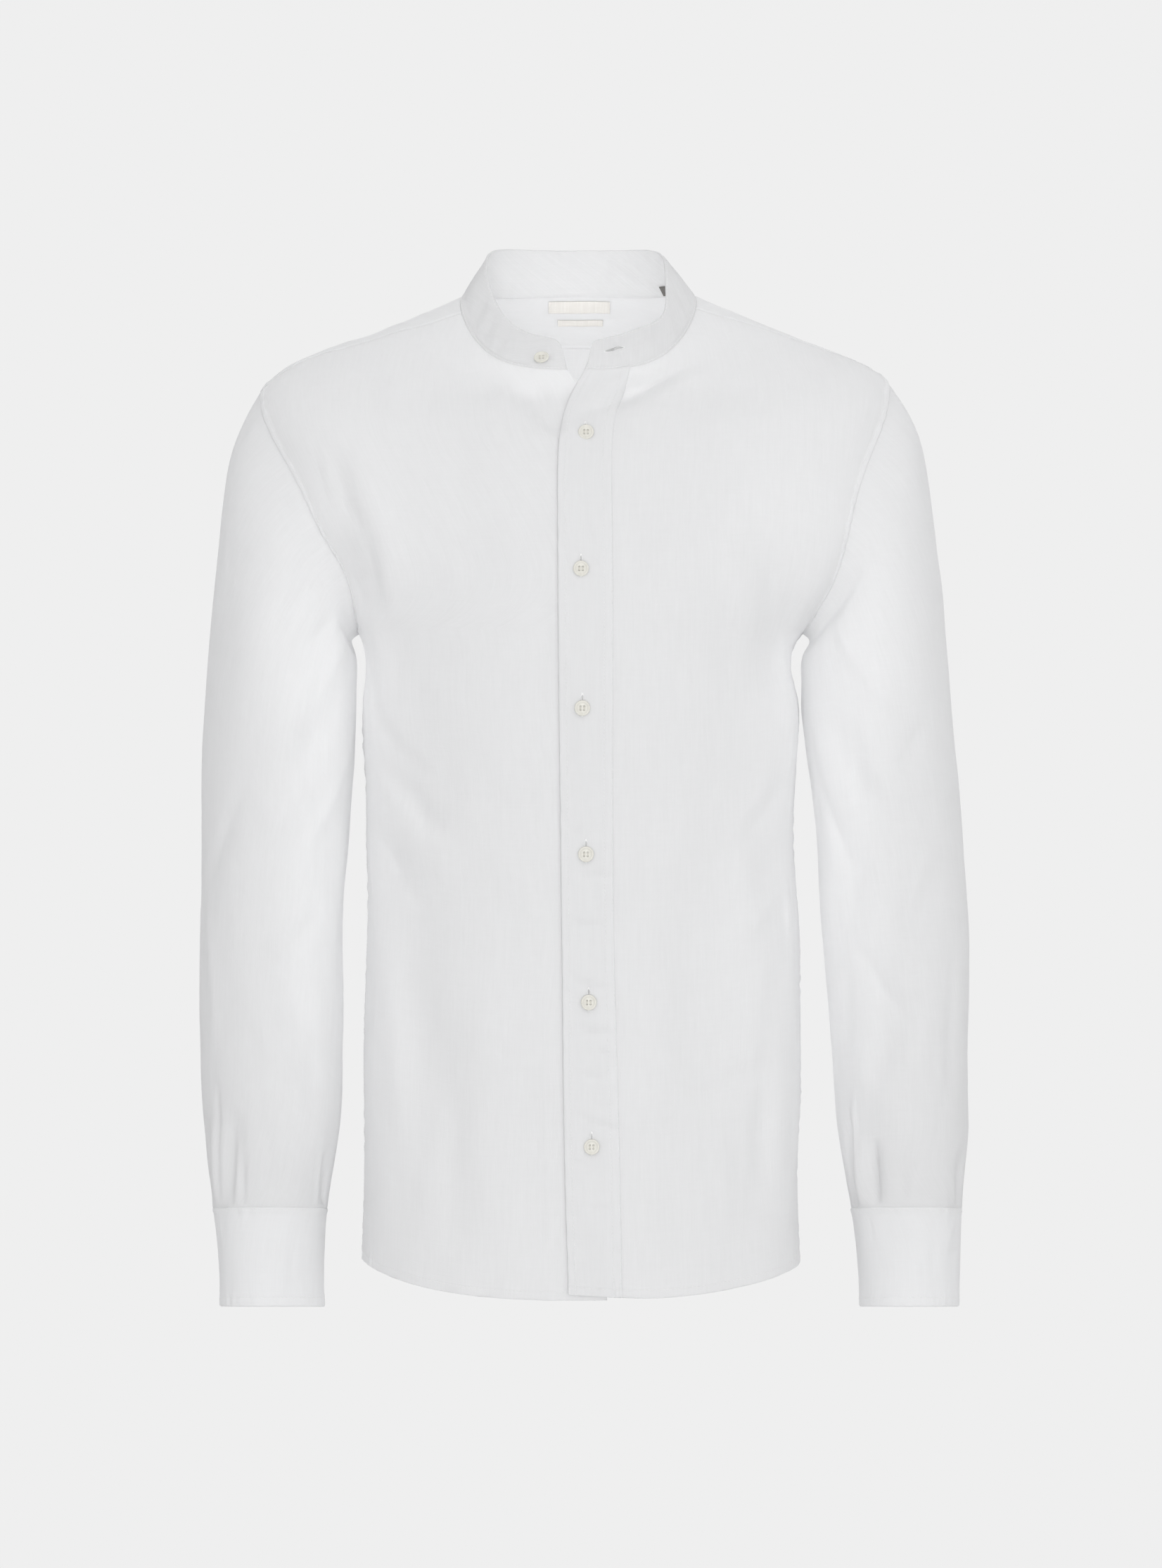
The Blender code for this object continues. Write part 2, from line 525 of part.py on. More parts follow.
def sleeve_rings(side, turns):
    """The sleeve's ring points, one row for each table row, before its folds."""
    rows = [dict(zip(SLEEVE_COLUMNS, row)) for row in SLEEVE_RINGS]
    name = "left" if side == LEFT else "right"
    rings = []
    for row in rows:
        outer = np.array([side * row[name + "_outer"], row["outer_z"]])
        inner = np.array([side * row[name + "_inner"], row["inner_z"]])
        flat = (outer + inner) / 2 - (outer - inner) / 2 * np.cos(turns)[:, None]
        middle, depth = (row["front_y"] + row["back_y"]) / 2, (row["back_y"] - row["front_y"]) / 2
        y = middle - depth * np.sin(turns)
        z = flat[:, 1] + row["rise"] * np.sin(turns)
        rings.append(np.stack([flat[:, 0], y, z], axis=-1))
    return np.array(rings)


def armhole_points(side):
    """The armhole seam's points, with the turns round the sleeve that they belong to."""
    turns = np.concatenate([part[:-1] for part in armhole_turns(side)])
    places = armhole(turns)
    return torso(side * places[:, 0], places[:, 1]), turns


def sleeve_points(side, along):
    """Points down the sleeve from the armhole seam, one row for each distance along."""
    loop, turns = armhole_points(side)
    rings = sleeve_rings(side, turns)
    points = spline([row[0] for row in SLEEVE_RINGS], rings, along)
    fade = 1 - smooth_step(np.asarray(along) / ARMHOLE_FADE)
    points = points + (loop - rings[0]) * fade[:, None, None]
    flat = math.radians(1) * SLEEVE_RADIUS
    folds = [(row[0] * flat, row[1], row[2] * flat, *row[3:]) for row in SLEEVE_FOLDS[side]]
    height = fold_height(turns[None, :] * SLEEVE_RADIUS, points[..., 2], folds)
    along = np.asarray(along)[:, None]
    height = height * smooth_step((along - CAP_FADE_FROM) / CAP_FADE)
    height = height * smooth_step((SLEEVE_RINGS[CUFF_SEAM_ROW][0] - along) / CUFF_FADE)
    outwards = points - points.mean(axis=1, keepdims=True)
    outwards = outwards / np.linalg.norm(outwards, axis=-1, keepdims=True)
    return points + outwards * height[..., None]


def cuff_points(side):
    """The cuff's strip, right round the sleeve's end and on over its own start by the lap."""
    count = len(armhole_points(side)[1])
    first = round(CUFF_START / (2 * math.pi) * count)
    columns = (first + np.arange(count + 1 + CUFF_LAP_COLUMNS)) % count
    seam, edge = (SLEEVE_RINGS[row][0] for row in (CUFF_SEAM_ROW, CUFF_SEAM_ROW + 1))
    return sleeve_points(side, np.linspace(seam, edge, CUFF_ROWS + 1))[:, columns]


def build_cuff(side, word, grids, normals):
    """A cuff with its button, and the strip over the sleeve's slit above it."""
    name = "cuff_" + word
    points, normal = grids[name], normals[name]
    lapped = np.zeros(points.shape[1])
    lapped[-1 - CUFF_LAP_COLUMNS :] = DOUBLE_THICK + 2 * SEAM_GAP
    cuff_edge, sleeve_edge = ("top", "bottom") if side == LEFT else ("bottom", "top")
    points = points + normal * lapped[None, :, None]
    cloth(name, points, normal, (cuff_edge,), thick=DOUBLE_THICK)
    place = (points[CUFF_ROWS // 2, -1] + points[CUFF_ROWS // 2, -2]) / 2
    out = normal[CUFF_ROWS // 2, -1]
    button("cuff_button_" + word, place + out * BUTTON_LIFT, out)
    sleeve, sleeve_normal = grids["sleeve_" + word], normals["sleeve_" + word]
    first = round(CUFF_START / (2 * math.pi) * sleeve.shape[1])
    columns = slice(first, first + SLIT_COLUMNS + 1)
    rows = slice(None, SLIT_ROWS + 1) if side == LEFT else slice(-1 - SLIT_ROWS, None)
    strip, strip_normal = sleeve[rows, columns], sleeve_normal[rows, columns]
    laid_on("sleeve_placket_" + word, strip, strip_normal, (sleeve_edge,))


# ---------------------------------------------------------------- the collar


def band(base_angle, top_angle, share):
    """Points of the band between the neck seam (share 0) and its top edge (share 1)."""
    top = dict(zip(TORSO_COLUMNS, COLLAR_TOP))
    share = np.asarray(share)[..., None]
    base = torso_skin(base_angle, NECK_LEVEL)
    opened = np.exp(-(((top_angle - COLLAR_OPEN_ANGLE) / COLLAR_OPEN_REACH) ** 2))
    edge = ring_point(top_angle, top["level"], top) + opened[..., None] * COLLAR_OPEN_PUSH
    return base * (1 - share) + edge * share


def end_angle(end_x):
    """The angle of the point of the band's top edge that has this x."""
    top = dict(zip(TORSO_COLUMNS, COLLAR_TOP))
    middle, half = (top["left"] - top["right"]) / 2, (top["left"] + top["right"]) / 2
    share = (end_x - middle) / half
    return math.asin(math.copysign(abs(share) ** (top["round"] / 2), share))


def collar_points(angles):
    """The band's grid over these angles of the neck seam, with its ends slanted and its top corners round."""
    steps = np.linalg.norm(np.diff(torso_skin(angles, NECK_LEVEL), axis=0), axis=1)
    from_left = np.concatenate([[0], np.cumsum(steps)])
    gone = {LEFT: from_left, RIGHT: from_left[-1] - from_left}
    ends = {LEFT: angles[0], RIGHT: angles[-1] - 2 * math.pi}
    top_angles, cut = angles, np.zeros(len(angles))
    for side, radius in COLLAR_CORNER.items():
        shift = end_angle(COLLAR_END_X[side]) - ends[side]
        top_angles = top_angles + shift * smooth_step(1 - gone[side] / COLLAR_END_REACH)
        away = np.clip(radius - gone[side], 0, radius)
        cut = np.maximum(cut, (radius - np.sqrt(radius**2 - away**2)) / COLLAR_HEIGHT)
    share = np.linspace(0, 1, COLLAR_ROWS + 1)[:, None] * (1 - cut)
    return band(angles[None, :], top_angles[None, :], share)


# ---------------------------------------------------------------- walls


def face_normals(points, closed):
    """Unit normals of a grid's quads."""
    if closed:
        points = np.concatenate([points, points[:, :1]], axis=1)
    diagonal = points[1:, 1:] - points[:-1, :-1]
    other = points[1:, :-1] - points[:-1, 1:]
    normal = np.cross(diagonal, other)
    return normal / np.linalg.norm(normal, axis=-1, keepdims=True)


def spread_to_points(face, shape):
    """Each quad's normal added to its four corners."""
    total = np.zeros(shape)
    rows, columns = face.shape[:2]
    for row in (0, 1):
        for column in (0, 1):
            target = (np.arange(columns) + column) % shape[1]
            total[row : row + rows, target] += face
    return total


def shared_normals(grids, closed):
    """Unit normals for each named grid, averaged over all the grids that have a point at the same place."""
    sums = {name: spread_to_points(face_normals(g, name in closed), g.shape) for name, g in grids.items()}
    places = np.concatenate([g.reshape(-1, 3) for g in grids.values()])
    flat = np.concatenate([s.reshape(-1, 3) for s in sums.values()])
    tree = KDTree(len(places))
    for i, place in enumerate(places):
        tree.insert(place, i)
    tree.balance()
    found = {}
    for name, grid in grids.items():
        points = grid.reshape(-1, 3)
        near = [[i for _, i, _ in tree.find_range(point, SAME_PLACE)] for point in points]
        normal = np.array([flat[group].sum(axis=0) for group in near])
        normal /= np.linalg.norm(normal, axis=-1, keepdims=True)
        found[name] = normal.reshape(grid.shape)
    return found


def pulled_back(points, normals, edges, distance):
    """The grid with some edges moved off their seams, at right angles to them, into the piece."""
    moved = points.copy()
    for edge in edges:
        here, inside = (0, 1) if edge in ("bottom", "first") else (-1, -2)
        if edge in ("first", "last"):
            here, inside = (slice(None), here), (slice(None), inside)
        step, along = points[inside] - points[here], np.gradient(points[here], axis=0)
        along /= np.linalg.norm(along, axis=-1, keepdims=True)
        for direction in (along, normals[here]):
            step = step - direction * (step * direction).sum(axis=-1, keepdims=True)
        moved[here] += step / np.linalg.norm(step, axis=-1, keepdims=True) * distance
    return moved


def wall(name, outer, inner, finish, closed=False):
    """One closed solid between an outer and an inner grid of points."""
    rows, columns = outer.shape[:2]
    count = rows * columns
    vertices = np.concatenate([outer.reshape(-1, 3), inner.reshape(-1, 3)])
    index = np.arange(count).reshape(rows, columns)
    if closed:
        index = np.concatenate([index, index[:, :1]], axis=1)
    faces = []
    for i in range(index.shape[0] - 1):
        for j in range(index.shape[1] - 1):
            a, b, c, d = index[i, j], index[i, j + 1], index[i + 1, j + 1], index[i + 1, j]
            one, other = vertices[a] - vertices[c], vertices[b] - vertices[d]
            flat = np.linalg.norm(one) <= np.linalg.norm(other)
            for half in ((a, b, c), (a, c, d)) if flat else ((a, b, d), (b, c, d)):
                faces.append(half)
                faces.append([corner + count for corner in reversed(half)])
    rims = [index[0], index[-1]]
    if not closed:
        rims += [index[:, 0], index[:, -1]]
    for rim in rims:
        for here, there in zip(rim, rim[1:]):
            faces.append((here, there, there + count, here + count))
    return solid(name, vertices, faces, finish)


def solid(name, vertices, faces, finish):
    """An object from points and faces, closed and facing outwards, with a material of its own."""
    mesh = bpy.data.meshes.new(name)
    mesh.from_pydata([tuple(v) for v in vertices], [], [tuple(int(i) for i in f) for f in faces])
    shape = bmesh.new()
    shape.from_mesh(mesh)
    bmesh.ops.recalc_face_normals(shape, faces=shape.faces)
    shape.to_mesh(mesh)
    shape.free()
    mesh.materials.append(material(name, *finish))
    mesh.shade_smooth()
    mesh.set_sharp_from_angle(angle=SHARP_ANGLE)
    thing = bpy.data.objects.new(name, mesh)
    bpy.context.scene.collection.objects.link(thing)
    return thing


def cloth(name, points, normals, seams, thick=CLOTH_THICK, closed=False):
    """A cloth piece whose outer face is a grid of points, parted from its neighbours at its seams."""
    outer = pulled_back(points, normals, seams, SEAM_GAP / 2)
    return wall(name, outer, outer - normals * thick, LINEN, closed)


def laid_on(name, points, normals, seams):
    """A strip that lies on a panel, made from the panel's own points, moved out, with a gap at its seams."""
    near = pulled_back(points, normals, seams, SEAM_GAP) + normals * SEAM_GAP
    return wall(name, near + normals * CLOTH_THICK, near, LINEN)


# ---------------------------------------------------------------- buttons and labels


def turned(name, profile, segments, finish):
    """A closed solid turned round its axis from radii and heights, whose first and last points are on it."""
    turn = np.arange(segments) * 2 * math.pi / segments
    vertices, rings = [], []
    for radius, height in profile:
        if radius == 0:
            rings.append([len(vertices)] * segments)
            vertices.append((0, 0, height))
            continue
        rings.append(list(range(len(vertices), len(vertices) + segments)))
        vertices += [(radius * math.cos(t), radius * math.sin(t), height) for t in turn]
    faces = []
    for low, high in zip(rings, rings[1:]):
        for k in range(segments):
            corners = [low[k], low[(k + 1) % segments], high[(k + 1) % segments], high[k]]
            faces.append(list(dict.fromkeys(corners)))
    return solid(name, vertices, faces, finish)


def button(name, place, normal):
    """A round button with a raised rim round a shallow dish, facing along the normal."""
    profile = [(radius * BUTTON_WIDE / 2, height * BUTTON_THICK) for radius, height in BUTTON_PROFILE]
    thing = turned(name, profile, BUTTON_SEGMENTS, CREAM)
    out = Vector(normal)
    across = Vector((1, 0, 0)) - out * out.x
    across.normalize()
    frame = Matrix((across, out.cross(across), out)).transposed().to_4x4()
    thing.matrix_world = Matrix.Translation(Vector(place)) @ frame
    return thing


def place_on_row(points, normals, share, x):
    """The point and normal of a grid at a share of its height, where its last columns pass this x."""
    row = share * (len(points) - 1)
    low = int(row)
    line = points[low] + (points[low + 1] - points[low]) * (row - low)
    column = max(k for k in range(len(line) - 1) if (line[k, 0] - x) * (line[k + 1, 0] - x) <= 0)
    part = (x - line[column, 0]) / (line[column + 1, 0] - line[column, 0])
    place = line[column] + (line[column + 1] - line[column]) * part
    return place, normals[low, column]


def inner_label(name, x, wide, levels):
    """A label on the inside of the back yoke, centred at x, between two levels of the form."""
    columns = np.linspace(x - wide / 2, x + wide / 2, LABEL_COLUMNS)
    across, level = np.meshgrid(columns, np.linspace(*levels, LABEL_ROWS))
    angle = math.pi - angle_at_x(level, across)
    normal = outward(torso_skin, angle, level)
    near = torso_skin(angle, level) - normal * (CLOTH_THICK + LABEL_LIFT)
    return wall(name, near, near - normal * LABEL_THICK, WOVEN)


def size_tag(name):
    """A small tag that stands on the back neck seam, inside the band at its left."""
    angles = math.pi - angle_at_x(NECK_LEVEL, np.array(TAG_SIDES)[::-1])
    angle, share = np.meshgrid(angles[::-1], np.linspace(*TAG_SHARES, LABEL_ROWS))
    normal = outward(lambda here, up: band(here, here, up), angle, share)
    near = band(angle, angle, share) - normal * (DOUBLE_THICK + LABEL_LIFT)
    return wall(name, near, near - normal * LABEL_THICK, WOVEN)


def torso_grids():
    """Outer faces of the torso's panels, each with its columns round from the left and its rows upwards."""
    yoke, back = yoke_places(), back_places()
    return {
        "front_left": front_left_points(),
        "front_right": front_right_points()[:, ::-1],
        "yoke": torso(yoke[..., 0], yoke[..., 1])[::-1],
        "back": torso(back[..., 0], back[..., 1]),
    }


def neck_angles():
    """Angles of the neck seam's points, from the left front edge round the back to the right front edge."""
    left = front_left_places()[-1, :, 0]
    right = 2 * math.pi - front_right_places()[-1, :, 0]
    left, right = left[: len(left) - YOKE_SEAM], right[: len(right) - YOKE_SEAM]
    return np.concatenate([left, yoke_places()[0, 1:-1, 0], right[::-1]])


def body_grids():
    """Outer faces of every cloth piece, rows upwards on the torso and columns round from the left."""
    grids = torso_grids()
    grids["collar_band"] = collar_points(neck_angles())
    for side, word in SIDES:
        order = slice(None, None, -side)
        grids["sleeve_" + word] = sleeve_points(side, SLEEVE_ALONG)[order]
        grids["cuff_" + word] = cuff_points(side)[order]
    return grids


def build():
    remove_everything()
    grids = body_grids()
    normals = shared_normals(grids, ("sleeve_left", "sleeve_right"))

    def piece(name, seams, **more):
        cloth(name, grids[name], normals[name], seams, **more)

    piece("front_left", ("top", "last"))
    piece("front_right", ("top", "first"))
    piece("yoke", ("bottom", "top", "first", "last"))
    piece("back", ("top", "first", "last"))
    piece("collar_band", ("bottom",), thick=DOUBLE_THICK)
    strip = slice(0, len(PLACKET_SHARES))
    laid_on("front_placket", grids["front_left"][:, strip], normals["front_left"][:, strip], ("top",))
    for side, word in SIDES:
        piece("sleeve_" + word, ("bottom", "top"), closed=True)
        build_cuff(side, word, grids, normals)

    for number, (x, z) in enumerate(BUTTON_PLACES, start=1):
        angle = angle_at_x(z, x)
        normal = outward(torso_skin, angle, z)
        lift = SEAM_GAP + CLOTH_THICK + BUTTON_LIFT
        button(f"button_{number}", torso(angle, z) + normal * lift, normal)
    band_grid = grids["collar_band"], normals["collar_band"]
    place, normal = place_on_row(*band_grid, COLLAR_BUTTON_SHARE, COLLAR_BUTTON_X)
    button("collar_button", place + normal * BUTTON_LIFT, normal)

    for name, x, wide, levels in LABELS:
        inner_label(name, x, wide, levels)
    size_tag("size_label")


build()
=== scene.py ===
"""The look of a white linen shirt with a mandarin collar, built round its CAD solids.

Metres, +Z up, -Y to the front, the wearer's left on +X. The cloth pieces repeat the solids' own form, with
finer folds, seams, stitches and a woven surface. Buttons, buttonholes and labels are built in full.
"""

import math

import bmesh
import bpy
import numpy as np
from mathutils import Matrix, Vector
from mathutils.kdtree import KDTree


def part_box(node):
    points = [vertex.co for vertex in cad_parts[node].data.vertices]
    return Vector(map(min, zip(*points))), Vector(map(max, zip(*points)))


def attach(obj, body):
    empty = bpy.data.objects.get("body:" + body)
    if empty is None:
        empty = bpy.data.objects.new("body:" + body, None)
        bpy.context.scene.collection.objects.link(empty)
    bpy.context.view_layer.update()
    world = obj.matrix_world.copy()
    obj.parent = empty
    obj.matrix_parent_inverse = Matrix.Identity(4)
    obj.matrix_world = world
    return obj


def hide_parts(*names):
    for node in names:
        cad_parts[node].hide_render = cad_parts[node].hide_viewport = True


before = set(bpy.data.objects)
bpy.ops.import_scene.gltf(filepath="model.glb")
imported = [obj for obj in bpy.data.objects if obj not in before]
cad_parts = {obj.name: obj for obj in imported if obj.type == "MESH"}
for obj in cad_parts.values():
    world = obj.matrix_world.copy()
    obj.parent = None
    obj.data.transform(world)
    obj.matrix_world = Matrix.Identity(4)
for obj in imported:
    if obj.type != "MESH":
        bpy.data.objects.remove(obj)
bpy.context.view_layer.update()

LEFT, RIGHT = 1, -1
SIDES = ((LEFT, "left"), (RIGHT, "right"))
ACROSS, FORWARD, UP = np.array(((1.0, 0.0, 0.0), (0.0, -1.0, 0.0), (0.0, 0.0, 1.0)))

# The tables of rings, folds, reliefs, steps and the button's profile are in millimetres, all else in metres
MM, TURN, TINY = 0.001, 2 * math.pi, 1e-12
# How far the right front dips under the left front
OVERLAP_DEPTH = 0.0013

# The torso as rings, each named by the height of its front centre. Half widths are to the right and left of
# x = 0, "swing" is the share of the drop from side to front (or back) that is reached at the corner.
TORSO_COLUMNS = (
    "level", "right", "left", "side_y", "right_z", "left_z",
    "front_y", "front_swing", "back_y", "back_z", "back_swing", "round",
)
TORSO_UNITS = (MM, MM, MM, MM, MM, MM, MM, 1, MM, MM, 1, 1)
TORSO_RINGS = np.array((
    # hem, hip, waist, ribs, chest
    (-722.3, 159.2, 160.4, 4, -703.5, -705.5, -113, 0.55, 119, -738, 0.55, 2.4),
    (-600, 158.4, 159.6, 4, -600, -600, -116, 0.6, 123, -600, 0.6, 2.4),
    (-450, 157.2, 158.2, 3, -450, -450, -115, 0.6, 119, -450, 0.6, 2.4),
    (-350, 158, 157.4, 3, -350, -350, -119, 0.6, 125, -350, 0.6, 2.4),
    (-290, 159.2, 157, 3, -290, -290, -122, 0.6, 129, -290, 0.6, 2.5),
    # underarm, flare of the armhole, its middle and its upper part
    (-246, 162.5, 162.5, 3, -246, -246, -122, 0.6, 131, -244, 0.6, 2.5),
    (-224, 181.5, 191.5, 3, -218, -217, -121, 0.6, 132, -215, 0.6, 2.4),
    (-185, 219.5, 225, 4, -166, -164, -116, 0.6, 130, -168, 0.6, 2.4),
    (-145, 236.5, 232, 4, -112, -108, -106, 0.6, 125, -115, 0.6, 2.4),
    # shoulder tip, outer and inner shoulder, neck seam
    (-115, 233, 224, 4, -66.5, -60.5, -94.5, 0.62, 114, -72, 0.62, 2.4),
    (-94, 198.5, 190, 3, -42.7, -42, -82.5, 0.64, 101, -44, 0.65, 2.3),
    (-75, 145, 138, 1, -24.8, -23, -69, 0.7, 80, -18, 0.7, 2.3),
    (-57.2, 88.5, 84.5, 0, -4, -3, -55, 0.77, 50, 6, 0.83, 2.2),
)) * TORSO_UNITS
HEM_LEVEL, UNDERARM_LEVEL = TORSO_RINGS[0][0], TORSO_RINGS[5][0]
TIP_LEVEL, NECK_LEVEL = TORSO_RINGS[9][0], TORSO_RINGS[12][0]
COLLAR_TOP = np.array((-33.5, 69.5, 62.4, -2, 24, 23, -30, 0.74, 45, 39, 0.97, 2.2)) * TORSO_UNITS
COLLAR_TOP = dict(zip(TORSO_COLUMNS, COLLAR_TOP))
# The collar opens further at its left front: the angle there, how far round it reaches, and the push outwards
COLLAR_OPEN_ANGLE, COLLAR_OPEN_REACH, COLLAR_OPEN_PUSH = 1.0, 0.27, (0.006, 0.0, -0.006)

# Front opening: x of the placket's free edge and stitched edge, and of the right front's edge beneath it.
OPENING_COLUMNS = ("level", "free_x", "stitched_x", "under_x")
OPENING = MM * np.array((
    (-722.3, -8.7, 29.2, 18.4),
    (-620, -11.5, 27.5, 18),
    (-500, -13, 24.3, 18.5),
    (-299, -15.4, 22.6, 19.5),
    (-149, -16.5, 22.1, 19),
    (-106, -15.1, 22.8, 16),
    (-86, -11.1, 26.2, 8),
    (-68, -3, 32.5, -3),
    (-57.2, 2.8, 35.5, -10),
))
# The right front's lip lies this far behind the free edge and this far in from its own edge at least, and the
# front comes up to it over a ramp, which fades towards the neck.
LIP_SETBACK, LIP_LEAST, RAMP_WIDTH, RAMP_FADE = 0.0005, 0.005, 0.014, 0.009
# The left front's lower corner hangs this much higher than its hem, over this turn and height
CORNER_LIFT, CORNER_TURN, CORNER_HEIGHT = 0.0040, 0.42, 0.10

# Armhole: a loop round the skin, from the underarm (0) by the front to the shoulder tip (half a turn).
ARMHOLE_FRONT_REACH, ARMHOLE_BACK_REACH, ARMHOLE_SKEW = 0.074, 0.062, 1.15
YOKE_FRONT_TURN = {RIGHT: math.radians(168), LEFT: math.radians(176)}
YOKE_BACK_TURN = math.radians(228)
YOKE_FRONT_AT_NECK = {RIGHT: 0.012, LEFT: 0.009}
YOKE_BACK_LEVEL, YOKE_BACK_BEND = -0.0830, 1.8

# Sleeve rings below the armhole. "along" is the distance down the sleeve, "rise" lifts the front edge.
SLEEVE_COLUMNS = (
    "along", "outer_z", "inner_z", "right_outer", "right_inner", "left_outer", "left_inner",
    "front_y", "back_y", "rise",
)
SLEEVE_RINGS = MM * np.array((
    # armhole (where the true seam takes its place), cap, head, upper arm, biceps
    (0, -66.5, -246, 233, 162.5, 224, 162.5, -72, 62, 0),
    (12, -82.5, -250, 242.5, 168, 235.5, 167.5, -73.5, 64, 0),
    (40, -118, -260, 256, 166, 250.5, 164, -74.5, 67, 0),
    (90, -200, -280, 266.8, 163.2, 262, 161.2, -73.5, 69, 0),
    (150, -302, -308, 274.5, 163.8, 271.2, 161.4, -70, 64, 0),
    # above the elbow, elbow, forearm, above the cuff, cuff seam, cuff edge
    (235, -385, -385, 278, 169.2, 277.5, 169, -66, 54, 0),
    (320, -470, -470, 277.5, 172, 283.5, 177, -68, 44, 1),
    (400, -550, -550, 276.5, 173.5, 283.5, 183, -70, 34, 2),
    (460, -610, -610, 273, 176.5, 280.8, 187.5, -71, 26, 3),
    (516, -664, -664, 267.5, 184.8, 276.5, 194.5, -69, 11, 4),
    (588, -735, -735, 263.2, 186, 273.5, 200.4, -69, 9, 4),
))
CUFF_SEAM_ROW, ARMHOLE_FADE = 9, 0.10

# Folds and finer creases of the torso in its front or back view: ends of the crease line, width, height
# (negative is a trough) and how far its middle bows sideways. They fade over the side and towards the neck.
SIDE_FADE_FROM, SIDE_FADE_WIDE, NECK_FADE, FOLD_TAPER = -0.15, 0.35, 0.012, 0.7
FOLD_COLUMNS = ("start_x", "start_z", "end_x", "end_z", "width", "height", "bow")
FRONT_FOLDS = (
    # from the left collar end down to the placket, and under the right collar end
    (94, -40, 26, -86, 11, -4.5, 4), (80, -60, 30, -105, 13, 3, 4), (-50, -66, -12, -106, 10, -3.5, -3),
    (-75, -58, -40, -100, 12, 2.5, -3),
    # beside the armholes
    (-176, -135, -150, -235, 13, -3, 6), (-160, -110, -128, -225, 15, 3, 6),
    (128, -170, 142, -300, 13, -4.5, -6), (112, -140, 118, -270, 16, 3, -6),
    # across the waist and down the lower body
    (-148, -330, -98, -395, 11, -3.5, 4), (-140, -370, -85, -425, 12, 2.8, 3),
    (-120, -420, -104, -640, 16, -3.5, 5), (-75, -480, -66, -690, 17, 3, -4),
    (80, -400, 88, -590, 15, -4, 4), (112, -360, 126, -600, 16, 3, -4), (105, -562, 132, -562, 6, -2.2, 1),
    (55, -500, 58, -700, 15, 2.5, 3),
    # finer creases, first round the collar's left end and below its right end
    (60, -56, 18, -83, 5, -2.9, 2), (98, -56, 60, -84, 7, 2.9, 3), (36, -64, 24, -94, 3.5, -1.8, 1),
    (-30, -62, -40, -92, 4, -1.8, 2), (-50, -58, -66, -96, 5, 1.6, 2), (-142, -68, -128, -115, 4.5, 1.4, 3),
    # beside the armholes
    (-186, -108, -171, -158, 4, 2.2, 1), (-176, -112, -158, -178, 5, -3.1, 2),
    (-166, -150, -144, -228, 5.5, -2.3, -3), (-140, -160, -132, -248, 5, 1.8, 2),
    (-150, -225, -142, -300, 5, 1.6, -2), (130, -110, 124, -210, 6, -1.8, 3),
    (160, -190, 148, -262, 4.5, -2.3, 2), (142, -225, 150, -320, 6, 1.8, -2),
    (96, -180, 88, -300, 8, 1.4, 3),
    # chest
    (-88, -95, -70, -215, 9, -1.8, 4), (-52, -130, -46, -262, 8, 1.4, -3), (52, -120, 60, -250, 9, 1.6, 3),
    # waist, diagonals from the side
    (-152, -300, -108, -352, 5.5, -2.3, 3), (-150, -345, -100, -404, 5, 2.3, 2),
    (-146, -392, -118, -446, 4.5, -2.2, -2), (-80, -322, -52, -380, 6, -1.6, 3),
    (-58, -400, -30, -452, 5.5, 1.6, 2), (150, -348, 108, -402, 5.5, -2, -3),
    (148, -430, 112, -470, 5, 1.8, 2), (44, -345, 70, -420, 6.5, -1.4, 3),
    # skirt
    (-138, -470, -126, -610, 7, 2.3, 3), (-94, -560, -88, -690, 6.5, -2.2, -2),
    (-50, -500, -40, -650, 8, 1.8, 4), (-32, -590, -28, -712, 6, -1.6, 2),
    (62, -560, 70, -712, 6.5, -1.8, 3), (96, -590, 104, -700, 6, 2, -3), (136, -480, 132, -660, 7, -2.2, 3),
    (72.7, -575.5, 127.5, -567.6, 2.4, -0.7, 1), (79.2, -48, 30.9, -83.9, 5.2, -3.4, 4),
    (33.9, -80.9, -8, -94.9, 4.5, -2.2, 2), (67.7, -46, 22.9, -65, 5, 1.4, 3),
    (-45.3, -75.9, -12, -102.8, 6, -2.6, 3), (75.7, -443.5, 67.7, -617.9, 4, -1, 2),
    (99.6, -443.5, 97.6, -508.3, 4, -0.8, 2), (107.1, -622.9, 104.6, -687.6, 4.5, -0.9, 2),
    (120.5, -187, 131.5, -299.1, 6, -1.2, 4), (-132.5, -329, -101.6, -393.7, 3, -0.9, 3),
    (-112.6, -324, -92.7, -363.8, 2.5, 0.8, 2), (-138.5, -373.8, -117.6, -423.6, 2.8, -0.8, 2),
    (-60.3, -144.7, -67.7, -189.5, 3, -0.8, 2), (-40.3, -324, -36.9, -388.7, 3.5, -0.8, 2),
    # short ones across the placket
    (-5, -420.1, 22.9, -421.1, 2.2, -1.1, 1), (-8, -453.5, 16.4, -455, 2.2, -1.4, 1),
    (-7.5, -494.3, 23.4, -500.3, 2.2, -1.6, 1), (-6.5, -528.2, 24.9, -532.2, 2.2, -1.6, 1),
    (10, -543.7, 21.9, -547.6, 2.2, -1.1, 1), (0, -562.6, 20.9, -561.1, 2.2, -1.4, 1),
    (11, -585.5, 23.4, -581.5, 2.2, -1.1, 1), (-5.5, -590, 31.4, -601.9, 2.2, -1.4, 1),
    (-8.5, -389.2, 0, -389.7, 2.2, -0.9, 1), (10, -372.3, 23.4, -369.8, 2.2, -0.9, 1),
    (5, -166.1, 11, -187, 2.2, -1.4, 1), (7.5, -195, 13, -202.4, 2.2, -1.1, 1),
    (-7, -622.9, 5, -625.4, 2.2, -0.9, 1), (7, -657.7, 22.9, -655.7, 2.2, -0.9, 1),
)
